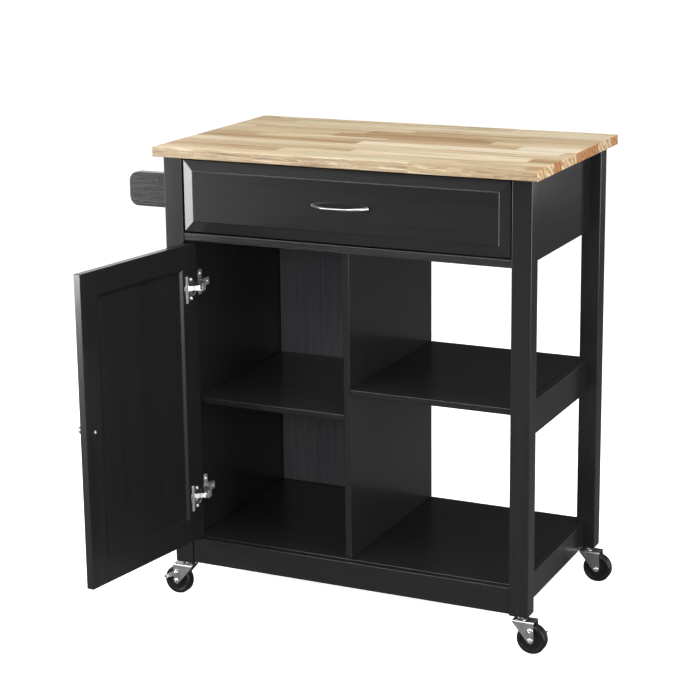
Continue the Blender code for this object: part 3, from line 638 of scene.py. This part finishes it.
def turned(name, profile, steps=48):
    """A piece turned about Z from a profile of (radius, height), smooth where the profile is."""
    mesh = bpy.data.meshes.new(name)
    points = [(radius, 0, height) for radius, height in profile]
    mesh.from_pydata(points, [(i, i + 1) for i in range(len(points) - 1)], [])
    piece = bpy.data.objects.new(name, mesh)
    bpy.context.scene.collection.objects.link(piece)
    pick(piece)
    bpy.ops.object.mode_set(mode="EDIT")
    bpy.ops.mesh.select_all(action="SELECT")
    bpy.ops.mesh.spin(steps=steps, angle=2 * math.pi, center=(0, 0, 0), axis=(0, 0, 1))
    bpy.ops.mesh.select_all(action="SELECT")
    bpy.ops.mesh.remove_doubles(threshold=0.00001)
    bpy.ops.mesh.normals_make_consistent(inside=False)
    leave_edit()
    return smooth(piece, 35)


def arc(centre, radius, start, end, steps):
    """Points along an arc, angles in degrees."""
    made = []
    for i in range(steps + 1):
        angle = math.radians(start + (end - start) * i / steps)
        made.append((centre[0] + radius * math.cos(angle), centre[1] + radius * math.sin(angle)))
    return made


def cross_head_screw(name, radius, height):
    """A domed screw head with a cross recess, standing on Z = 0."""
    sphere = (radius * radius + height * height) / (2 * height)
    dome = [
        (sphere * math.sin(angle), height - sphere + sphere * math.cos(angle))
        for angle in (math.asin(radius / sphere) * i / 6 for i in range(7))
    ]
    head = turned(name, dome + [(radius, -0.3 * MM), (0, -0.3 * MM)], 32)
    reach, half = radius * 0.55, radius * 0.1
    for turn in (0, math.pi / 2):
        slot = squared_block("slot", (-reach, -half, height * 0.45), (reach, half, 2 * height))
        slot.rotation_euler.z = turn + math.pi / 4
        bpy.ops.object.transform_apply(rotation=True)
        pick(head)
        cut = head.modifiers.new("cross", "BOOLEAN")
        cut.object = slot
        bpy.ops.object.modifier_apply(modifier=cut.name)
        bpy.data.objects.remove(slot)
    return smooth(head, 35)


knob_x = DOOR_WIDE - PIVOT_IN - KNOB_FROM_EDGE
knob_z = (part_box("knob_screw")[0].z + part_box("knob_screw")[1].z) / 2
knob_profile = [(0, 24 * MM)]
knob_profile += arc((0, 16 * MM), 8 * MM, 86, -12, 10)
knob_profile += [(6.2 * MM, 11 * MM), (4.6 * MM, 7 * MM), (4.3 * MM, 4 * MM), (5.2 * MM, 2 * MM)]
knob_profile += [(7.0 * MM, 1.2 * MM), (7.2 * MM, 0.6 * MM), (7.0 * MM, 0), (0, 0)]
knob = stand(turned("door_knob_turned", knob_profile), (knob_x, door_front, knob_z), (0, -1, 0))
knob_bolt = cross_head_screw("knob_bolt_head", 3.8 * MM, 2.2 * MM)
stand(knob_bolt, (knob_x, door_inner, knob_z), (0, 1, 0))
for piece, node in ((knob, "door_knob"), (knob_bolt, "knob_screw")):
    coat(piece, satin_chrome)
    swing_open(piece)
    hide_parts(node)
    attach(piece, "door")

# ---- Door hinges -----------------------------------------------------------------------------------
# Two concealed hinges, pressed from steel and nickel plated: a cup with a flange let into the door,
# a link that leaves the cup, and a channel arm clipped to a winged plate on the side panel.
CUP_WALL = 1.2 * MM
FLANGE_HALF = 26 * MM
cup_x = CUP_FROM_EDGE - PIVOT_IN
nickel = plated_metal("bright_nickel", (0.86, 0.855, 0.84), 0.30, 0.08, 0.2)
flange_nickel = plated_metal("flange_nickel", (0.90, 0.895, 0.88), 0.44, 0.08, 0.2)
# painted shade: a darker copy of the nickel for the hinge cups and their ears, in place of the shade they sit
# in
painted_shade_nickel = plated_metal("painted_shade_nickel", (0.30, 0.295, 0.285), 0.30, 0.10, 0.2)


def pick_edges(piece, wanted):
    """Goes into edit mode with only the wanted edges selected, by their two ends."""
    pick(piece)
    bpy.ops.object.mode_set(mode="EDIT")
    bpy.ops.mesh.select_mode(type="EDGE")
    bpy.ops.mesh.select_all(action="DESELECT")
    leave_edit()
    for edge in piece.data.edges:
        edge.select = wanted(*(piece.data.vertices[i].co for i in edge.vertices))
    bpy.ops.object.mode_set(mode="EDIT")


def pressed_plate(name, low, high, corner_round, edge_round=0.35 * MM, axis="Y"):
    """A flat plate whose corners are rounded about one axis."""
    plate = squared_block(name, low, high)
    across = [i for i in range(3) if "XYZ"[i] != axis]
    pick_edges(plate, lambda start, end: all(abs(start[i] - end[i]) < 1e-6 for i in across))
    bpy.ops.mesh.bevel(offset=corner_round, segments=6, affect="EDGES")
    leave_edit()
    return ease_edges(plate, edge_round, 2)


def strap(name, path, sheet, low, high):
    """A bent strip of sheet that follows a path in plan, between two heights."""
    left, right = [], []
    for i, point in enumerate(path):
        before, after = Vector(path[max(i - 1, 0)]), Vector(path[min(i + 1, len(path) - 1)])
        along = (after - before).normalized()
        across = Vector((-along.y, along.x)) * sheet / 2
        left.append(Vector(point) + across)
        right.append(Vector(point) - across)
    ring = left + right[::-1]
    mesh = bpy.data.meshes.new(name)
    mesh.from_pydata([(p.x, p.y, low) for p in ring], [], [list(range(len(ring)))])
    piece = bpy.data.objects.new(name, mesh)
    bpy.context.scene.collection.objects.link(piece)
    pick(piece)
    bpy.ops.object.mode_set(mode="EDIT")
    bpy.ops.mesh.select_all(action="SELECT")
    bpy.ops.mesh.extrude_region_move(TRANSFORM_OT_translate={"value": (0, 0, high - low)})
    bpy.ops.mesh.select_all(action="SELECT")
    bpy.ops.mesh.normals_make_consistent(inside=False)
    leave_edit()
    return piece


def smooth_path(points, per_span=5):
    """A Catmull-Rom curve through the points, for a strip that is bent and not folded."""
    padded = [points[0]] + list(points) + [points[-1]]
    made = []
    for i in range(len(points) - 1):
        a, b, c, d = (Vector(padded[i + j]) for j in range(4))
        for step in range(per_span):
            t = step / per_span
            curved = (2 * a - 5 * b + 4 * c - d) * t * t + (3 * b - a - 3 * c + d) * t ** 3
            made.append(0.5 * (2 * b + (c - a) * t + curved))
    made.append(Vector(points[-1]))
    return [(point.x, point.y) for point in made]


def join(name, *pieces):
    """Joins finished shapes into one piece."""
    pick(*pieces)
    bpy.ops.object.join()
    piece = bpy.context.object
    piece.name = piece.data.name = name
    return piece


def hinge_cup(level, height):
    """The cup with its flange strip, and the two screws that hold it in the shut door."""
    outer = CUP_RADIUS - 0.2 * MM
    bore = outer - CUP_WALL
    profile = [(0, CUP_WALL - CUP_DEEP)]
    profile += arc((bore - 2 * MM, CUP_WALL - CUP_DEEP + 2 * MM), 2 * MM, 270, 360, 4)
    profile += arc((bore + 0.4 * MM, 0.1 * MM), 0.4 * MM, 180, 90, 3)
    profile += [(outer, 0.5 * MM), (outer + 0.6 * MM, 0.15 * MM), (outer, 0.1 * MM)]
    profile += [(outer, -CUP_DEEP), (0, -CUP_DEEP)]
    # The cup takes the darker nickel, as painted shade in the bore.
    cup = coat(stand(turned("cup", profile, 56), (cup_x, door_inner, height), (0, 1, 0)), painted_shade_nickel)
    face = door_inner + 0.1 * MM
    strip = pressed_plate(
        "strip",
        (cup_x + 7.9 * MM, face, height - FLANGE_HALF),
        (cup_x + 14.6 * MM, face + 1.4 * MM, height + FLANGE_HALF),
        2.0 * MM,
        0.5 * MM,
    )
    fittings = [coat(strip, flange_nickel)]
    for side in (-1, 1):
        start, end = sorted((height + side * 13 * MM, height + side * 23 * MM))
        ear_far = (cup_x + 5 * MM, face + 0.8 * MM, end)
        ear = pressed_plate("ear", (cup_x - 6 * MM, face, start), ear_far, 4 * MM)
        screw = cross_head_screw("screw", 3.6 * MM, 2.2 * MM)
        place = (cup_x - 1.4 * MM, face + 0.8 * MM, height + side * 18.2 * MM)
        # The ears take the darker nickel too, as painted shade.
        fittings += [coat(ear, painted_shade_nickel), coat(stand(screw, place, (0, 1, 0)), nickel)]
    return join("cup_" + level, cup, *fittings)


def hinge_link(level, height):
    """Two cheeks that leave the cup, with the pins that they turn on."""
    path = smooth_path(
        [
            (cup_x - 1 * MM, door_inner - 6.5 * MM),
            (cup_x - 8 * MM, door_inner - 1 * MM),
            (cup_x - 12.5 * MM, door_inner + 4 * MM),
            (cup_x - 19.0 * MM, door_inner + 7.9 * MM),
        ]
    )
    strip = ease_edges(strap("strip", path, 1.5 * MM, height - 4.4 * MM, height + 4.4 * MM), 0.25 * MM, 2)
    pins = []
    cup_pin = ((cup_x - 1 * MM, door_inner - 6.3 * MM), 13.5 * MM)
    arm_pin = ((cup_x - 18.6 * MM, door_inner + 7.2 * MM), 9.8 * MM)
    for place, length in (cup_pin, arm_pin):
        half = length / 2
        profile = [(0, half), (1.2 * MM, half), (1.5 * MM, half - 0.3 * MM)]
        profile += [(1.5 * MM, 0.3 * MM - half), (1.2 * MM, -half), (0, -half)]
        pins.append(stand(turned("pin", profile, 20), (*place, height), (0, 0, 1)))
    return join("link_" + level, strip, *pins)


def hinge_arm(level, height):
    """The arm, in the frame of the shut door's pivot but fixed to the cart."""
    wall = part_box("side_panel_left")[1].x - door_pivot.x + 0.3 * MM
    nose = (20.5 * MM, 4.6 * MM)
    path = smooth_path(
        [
            nose,
            (nose[0] - 0.5 * MM, nose[1] + 11 * MM),
            (nose[0] - 5 * MM, nose[1] + 21 * MM),
            (wall + 12.5 * MM, nose[1] + 31 * MM),
            (wall + 11.5 * MM, nose[1] + 61 * MM),
        ]
    )
    web = ease_edges(strap("web", path, 1.4 * MM, height - 7.2 * MM, height + 7.2 * MM), 0.3 * MM, 2)
    pieces = [web]
    for side in (-1, 1):
        flange_low, flange_high = sorted((height + side * 7.2 * MM, height + side * 5.8 * MM))
        inset_path = [(x - 1.6 * MM, y) for x, y in path[1:]]
        pieces.append(ease_edges(strap("flange", inset_path, 3.0 * MM, flange_low, flange_high), 0.3 * MM, 2))
    base = pressed_plate(
        "base",
        (wall, nose[1] + 28 * MM, height - 5.5 * MM),
        (wall + 9.8 * MM, nose[1] + 62 * MM, height + 5.5 * MM),
        1.5 * MM,
        0.5 * MM,
        "X",
    )
    wing = pressed_plate(
        "wings",
        (wall, nose[1] + 37 * MM, height - 25 * MM),
        (wall + 1.8 * MM, nose[1] + 51 * MM, height + 25 * MM),
        5.5 * MM,
        0.4 * MM,
        "X",
    )
    pieces += [base, wing]
    for side in (-1, 1):
        place = (wall + 1.8 * MM, nose[1] + 44 * MM, height + side * 16.5 * MM)
        pieces.append(stand(cross_head_screw("screw", 3.9 * MM, 2.4 * MM), place, (1, 0, 0)))
    for y in (40 * MM, 54 * MM):
        place = (wall + 12.3 * MM, nose[1] + y, height)
        pieces.append(stand(cross_head_screw("adjuster", 3.0 * MM, 1.3 * MM), place, (1, 0, 0)))
    arm = join("arm_" + level, *pieces)
    arm.data.transform(Matrix.Translation((door_pivot.x, door_pivot.y, 0)))
    return arm


for level in ("upper", "lower"):
    cup_low, cup_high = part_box("hinge_cup_" + level)
    height = (cup_low.z + cup_high.z) / 2
    cup = swing_open(hinge_cup(level, height))
    link = swing_open(hinge_link(level, height))
    arm = hinge_arm(level, height)
    for piece, node, body in (
        (cup, "hinge_cup_" + level, "door"),
        (link, "hinge_link_" + level, "door"),
        (arm, "hinge_arm_" + level, "cart"),
    ):
        if piece is not cup:
            coat(piece, flange_nickel)
        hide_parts(node)
        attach(piece, body)

# ---- Towel bar -------------------------------------------------------------------------------------
# A dowel between two blocks with rounded noses, screwed to the left legs from inside. The wood is left
# coarser here, so its grain stands out through the paint.
BRACKET_ROUND = 18 * MM
coarse_paint = black_paint("black_paint_open_grain", "x", 0.022, 1.0, 1.3, 0.3, 230.0)
coarse_paint_bar = black_paint("black_paint_bar", "y", 0.020, 0.9, 0.9, 0.3, 300.0)

for end in ("front", "back"):
    low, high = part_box("towel_bracket_" + end)
    bracket = squared_block("bracket_" + end, low, high)
    nose = (low.x + high.x) / 2
    pick_edges(bracket, lambda start, finish: abs(start.y - finish.y) > MM and start.x < nose)
    bpy.ops.mesh.bevel(offset=BRACKET_ROUND, segments=12, affect="EDGES")
    leave_edit()
    ease_edges(bracket, 1.4 * MM, 3)
    coat(bracket, coarse_paint)
    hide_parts("towel_bracket_" + end)
    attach(bracket, "cart")

low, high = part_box("towel_bar")
bar_radius = (high.x - low.x) / 2
bar_half = (high.y - low.y) / 2
profile = [(0, bar_half), (bar_radius, bar_half), (bar_radius, -bar_half), (0, -bar_half)]
bar = stand(turned("towel_dowel", profile, 64), (low + high) / 2, (0, 1, 0))
coat(bar, coarse_paint_bar)
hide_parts("towel_bar")
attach(bar, "cart")

# ---- Casters ---------------------------------------------------------------------------------------
# Small twin-plate swivel casters, pressed from zinc-plated sheet: a stem driven into the leg, a fork
# with rolled shoulders and a riveted axle, a moulded black wheel, and a foot brake on the front pair.
TRAIL = 22 * MM
WHEEL_RADIUS = 28 * MM
WHEEL_HALF = 10 * MM
FORK_TOP = 63.5 * MM
FORK_HALF = 13.5 * MM
FORK_SHEET = 1.9 * MM
FORK_ROUND = 6.5 * MM
SHOULDER = 3.6 * MM
LEG_BASE = 70 * MM
STEM_HOLE = 4.4 * MM
HOLE_END = 50 * MM
BRAKE_UP = 18 * MM
AXLE_SHANK = 2.9 * MM


def black_wheel_finish():
    """Moulded black plastic, a little dusty in the tread."""
    made, tree, shader = new_finish("moulded_wheel")
    coords = add_node(tree, "TexCoord").outputs["Object"]
    fine = stretched_noise(tree, coords, (900.0, 900.0, 900.0), 3.0)
    clouds = stretched_noise(tree, coords, (70.0, 70.0, 70.0), 4.0, 0.65)
    colour = blend_colours(tree, clouds, grey(0.004), grey(0.010))
    rough = sum_up(tree, "MULTIPLY_ADD", clouds, 0.22, 0.24)
    bump = add_node(tree, "Bump", {"Height": fine, "Strength": 0.25, "Distance": 0.06 * MM})
    tree.links.new(colour, shader.inputs["Base Color"])
    tree.links.new(rough, shader.inputs["Roughness"])
    tree.links.new(bump.outputs[0], shader.inputs["Normal"])
    shader.inputs["Specular IOR Level"].default_value = 0.35
    return made


wheel_black = black_wheel_finish()
rivet_zinc = plated_metal("rivet_zinc", (0.90, 0.90, 0.90), 0.20, 0.10, 0.15)


def wheel_profile():
    """The wheel's section, closed round its bore: tread ribs, rounded shoulders, dished sides, a hub."""
    half = [(WHEEL_RADIUS - 0.5 * MM, 0)]
    for rib in (1.6, 4.6):
        half += [(WHEEL_RADIUS - 0.5 * MM, (rib - 0.5) * MM), (WHEEL_RADIUS, (rib - 0.1) * MM)]
        half += [(WHEEL_RADIUS, (rib + 1.9) * MM), (WHEEL_RADIUS - 0.5 * MM, (rib + 2.3) * MM)]
    half += arc((WHEEL_RADIUS - 3.2 * MM, WHEEL_HALF - 2.6 * MM), 2.6 * MM, 10, 90, 5)
    half += [(21.5 * MM, WHEEL_HALF), (20.6 * MM, WHEEL_HALF - 0.4 * MM)]
    half += [(19.4 * MM, WHEEL_HALF - 2.4 * MM), (18 * MM, WHEEL_HALF - 2.8 * MM)]
    half += [(10 * MM, WHEEL_HALF - 2.2 * MM), (8.6 * MM, WHEEL_HALF - 1.4 * MM)]
    half += [(7.8 * MM, WHEEL_HALF + 0.9 * MM), (3.35 * MM, WHEEL_HALF + 1 * MM)]
    mirrored = [(radius, -height) for radius, height in half[1:]][::-1]
    return mirrored + half + mirrored[:1]


def fork_shell(name):
    """The pressed fork: a folded sheet with rolled shoulders, open in front and behind."""
    round_end = arc((TRAIL, WHEEL_RADIUS), FORK_ROUND, 215, 360, 10)
    outline = [(-13 * MM, FORK_TOP), (-13 * MM, FORK_TOP - 4 * MM)] + round_end
    outline += [(TRAIL + FORK_ROUND, FORK_TOP)]
    mesh = bpy.data.meshes.new(name)
    mesh.from_pydata([(x, -FORK_HALF, z) for x, z in outline], [], [list(range(len(outline)))])
    fork = bpy.data.objects.new(name, mesh)
    bpy.context.scene.collection.objects.link(fork)
    pick(fork)
    bpy.ops.object.mode_set(mode="EDIT")
    bpy.ops.mesh.select_all(action="SELECT")
    bpy.ops.mesh.extrude_region_move(TRANSFORM_OT_translate={"value": (0, 2 * FORK_HALF, 0)})
    bpy.ops.mesh.select_all(action="SELECT")
    bpy.ops.mesh.normals_make_consistent(inside=False)
    leave_edit()
    pick_faces(fork, lambda middle, normal: abs(normal.y) < 0.5 and normal.z < 0.9)
    bpy.ops.mesh.delete(type="FACE")
    leave_edit()
    pick_edges(fork, lambda start, end: min(start.z, end.z) > FORK_TOP - MM and abs(start.y - end.y) < 1e-5)
    bpy.ops.mesh.bevel(offset=SHOULDER, segments=6, affect="EDGES")
    leave_edit()
    pick(fork)
    wall = fork.modifiers.new("sheet", "SOLIDIFY")
    wall.thickness = FORK_SHEET
    wall.offset = -1
    wall.use_even_offset = True
    bpy.ops.object.modifier_apply(modifier=wall.name)
    return ease_edges(fork, 0.35 * MM, 2, 35)


def axle_rivet(reach, radius):
    """The axle, a rivet right across the fork with a domed and dimpled head on each side."""
    end = [(0, reach + 0.5 * MM), (radius * 0.22, reach + 0.7 * MM), (radius * 0.34, reach + 1.7 * MM)]
    end += [(radius * 0.6, reach + 1.5 * MM), (radius * 0.85, reach + 1.0 * MM), (radius, reach + 0.3 * MM)]
    end += [(radius, reach), (AXLE_SHANK, reach)]
    other = [(r, -h) for r, h in end[::-1]]
    return coat(stand(turned("axle", end + other, 28), (TRAIL, 0, WHEEL_RADIUS), (0, 1, 0)), rivet_zinc)


def short_rivet(name, side, reach, radius, z):
    """A rivet head that only passes through one side of the fork."""
    profile = [(0, 0.8 * MM), (radius * 0.2, 1.0 * MM), (radius * 0.32, 1.9 * MM), (radius * 0.6, 1.7 * MM)]
    profile += [(radius * 0.85, 1.1 * MM), (radius, 0.3 * MM), (radius, 0), (radius * 0.6, 0)]
    profile += [(radius * 0.6, -2.5 * MM), (0, -2.5 * MM)]
    return coat(stand(turned(name, profile, 24), (TRAIL, side * reach, z), (0, side, 0)), rivet_zinc)


def place_caster(piece, corner):
    """Moves a piece made about a swivel at the origin to its corner, turned to the caster's heading."""
    pick(piece)
    swivel = Vector(joints["swivel_" + corner]["pos_m"])
    wheel = Vector(joints["roll_" + corner]["pos_m"])
    heading = 0 if wheel.x > swivel.x else math.pi
    piece.matrix_world = (
        Matrix.Translation((swivel.x, swivel.y, 0)) @ Matrix.Rotation(heading, 4, "Z") @ piece.matrix_world
    )
    bpy.ops.object.transform_apply(location=True, rotation=True, scale=True)
    return piece


for corner in CORNERS:
    braked = corner.startswith("front")
    collar = ((0, 0.3), (9.3, 0.3), (9.6, 0.8), (9.6, 1.6), (9.0, 2.1), (7.0, 2.3), (7.0, 3.4))
    raceway = ((9.5, 2.6), (11.4, 1.9), (12.3, 1.0), (12.3, 0.3), (4.0, 0.3))
    rivet_end = ((4.0, 0.5), (6.8, 0.5), (6.2, 2.2), (0, 2.6))
    stem_profile = [(radius * MM, LEG_BASE - down * MM) for radius, down in collar]
    stem_profile += [(radius * MM, FORK_TOP + up * MM) for radius, up in raceway]
    stem_profile += [(radius * MM, FORK_TOP - FORK_SHEET - down * MM) for radius, down in rivet_end]
    stem = turned("stem_" + corner, stem_profile, 40)

    fork = fork_shell("fork")
    hole_profile = [(0, LEG_BASE), (STEM_HOLE, LEG_BASE), (STEM_HOLE, HOLE_END), (0, HOLE_END)]
    hole = turned("hole", hole_profile, 32)
    pick(fork)
    cut = fork.modifiers.new("stem_hole", "BOOLEAN")
    cut.object = hole
    bpy.ops.object.modifier_apply(modifier=cut.name)
    bpy.data.objects.remove(hole)
    smooth(fork)
    parts = [coat(fork, zinc), axle_rivet(FORK_HALF, 4.6 * MM)]
    if braked:
        parts.append(short_rivet("brake_rivet", -1, FORK_HALF, 5.5 * MM, WHEEL_RADIUS + BRAKE_UP))
        parts.append(short_rivet("brake_pin", 1, FORK_HALF + 2.4 * MM, 4.2 * MM, WHEEL_RADIUS + BRAKE_UP))
    fork = join("pressed_fork_" + corner, *parts)

    wheel = turned("wheel_" + corner, wheel_profile(), 96)
    stand(wheel, (TRAIL, 0, WHEEL_RADIUS), (0, 1, 0))

    made = (
        (stem, "caster_stem_", "cart", zinc, "zinc"),
        (fork, "caster_fork_", "caster_" + corner, zinc, "zinc"),
        (wheel, "caster_wheel_", "wheel_" + corner, wheel_black, "wheel"),
    )
    for piece, node, body, finish, slot in made:
        place_caster(piece, corner)
        if piece is not fork:
            coat(piece, finish)
        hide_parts(node + corner)
        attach(piece, body)
    if braked:
        coat(frame["nodes"]["brake_lever_" + corner], zinc)

# ---- Floor, light and camera -----------------------------------------------------------------------
# A plain pale floor under soft studio light. The camera looks from the cart's front right, a little
# above the worktop's height.
FLOOR_SIZE = 40.0

bpy.ops.object.select_all(action="DESELECT")
bpy.ops.mesh.primitive_plane_add(size=FLOOR_SIZE)
floor = bpy.context.object
floor.name = "studio_floor"
floor_paint, tree, shader = new_finish("pale_floor")
seen = add_node(tree, "LightPath").outputs["Is Camera Ray"]
shade = sum_up(tree, "MULTIPLY_ADD", seen, 0.75, 0.17)
shade_colour = add_node(tree, "CombineColor", {0: shade, 1: shade, 2: shade}).outputs[0]
tree.links.new(shade_colour, shader.inputs["Base Color"])
shader.inputs["Roughness"].default_value = 0.9
shader.inputs["Specular IOR Level"].default_value = 0.0
shader.inputs["Emission Color"].default_value = (1.0, 1.0, 1.0, 1.0)
tree.links.new(sum_up(tree, "MULTIPLY", seen, 0.86), shader.inputs["Emission Strength"])
coat(floor, floor_paint)

world = bpy.data.worlds.new("studio")
bpy.context.scene.world = world
world.use_nodes = True
tree = world.node_tree
background = tree.nodes["Background"]
background.inputs["Color"].default_value = (1.0, 1.0, 1.0, 1.0)
seen = add_node(tree, "LightPath").outputs["Is Camera Ray"]
heading = add_node(tree, "SeparateXYZ", {0: add_node(tree, "TexCoord").outputs["Generated"]})
behind = sum_up(tree, "SUBTRACT", heading.outputs["Y"], heading.outputs["Z"])
falling = {"Value": behind, "From Min": -0.2, "From Max": 0.5, "To Min": 0.21, "To Max": 0.04}
behind = add_node(tree, "MapRange", falling).outputs[0]
unseen = sum_up(tree, "MULTIPLY", behind, sum_up(tree, "SUBTRACT", 1.0, seen))
tree.links.new(sum_up(tree, "ADD", unseen, seen), background.inputs["Strength"])


def softbox(name, place, aim, width, height, power):
    """A large soft light at one place, turned to its aim."""
    lamp = bpy.data.lights.new(name, "AREA")
    lamp.shape = "RECTANGLE"
    lamp.size = width
    lamp.size_y = height
    lamp.energy = power
    made = bpy.data.objects.new(name, lamp)
    made.location = place
    made.rotation_euler = (Vector(place) - Vector(aim)).to_track_quat("Z", "Y").to_euler()
    made.visible_camera = False
    bpy.context.scene.collection.objects.link(made)
    return made


softbox("key_light", (-2.7, -2.15, 0.65), (0, 0, 0.5), 1.2, 1.3, 84)
softbox("top_light", (0.4, -0.6, 3.0), (0, 0, 0.4), 1.6, 1.6, 68)
softbox("front_light", (-1.1, -2.15, 2.3), (0, 0, 0.6), 1.3, 0.7, 38)
softbox("edge_light", (-1.85, 1.6, 1.15), (-0.3, -0.3, 0.7), 1.2, 0.45, 2.6)
softbox("side_light", (2.85, -0.8, 0.78), (0, 0, 0.4), 1.9, 1.5, 88)
softbox("fill_light", (1.0, -3.6, 1.4), (-0.1, 0, 0.5), 1.2, 1.2, 36)
softbox("apron_light", (1.9, 3.2, 0.45), (0.3, 0.1, 0.7), 0.7, 0.5, 1.3)

CAMERA_TURN = math.radians(25.14)
CAMERA_RISE = math.radians(13.15)
CAMERA_ROLL = math.radians(-0.62)
CAMERA_AWAY = 3.558
CAMERA_AIM = Vector((0.012, 0.0, 0.628))
CAMERA_LENS = 98.6
CAMERA_SHIFT = -0.08

camera_data = bpy.data.cameras.new("camera")
camera = bpy.data.objects.new("camera", camera_data)
bpy.context.scene.collection.objects.link(camera)
bpy.context.scene.camera = camera
camera_data.sensor_width = 36
camera_data.lens = CAMERA_LENS
camera_data.shift_y = CAMERA_SHIFT
camera_turn = (
    Matrix.Rotation(CAMERA_TURN, 4, "Z")
    @ Matrix.Rotation(math.pi / 2 - CAMERA_RISE, 4, "X")
    @ Matrix.Rotation(CAMERA_ROLL, 4, "Z")
)
back = camera_turn.to_3x3() @ Vector((0, 0, 1))
camera.matrix_world = Matrix.Translation(CAMERA_AIM + back * CAMERA_AWAY) @ camera_turn
bpy.context.scene.view_settings.view_transform = "Standard"
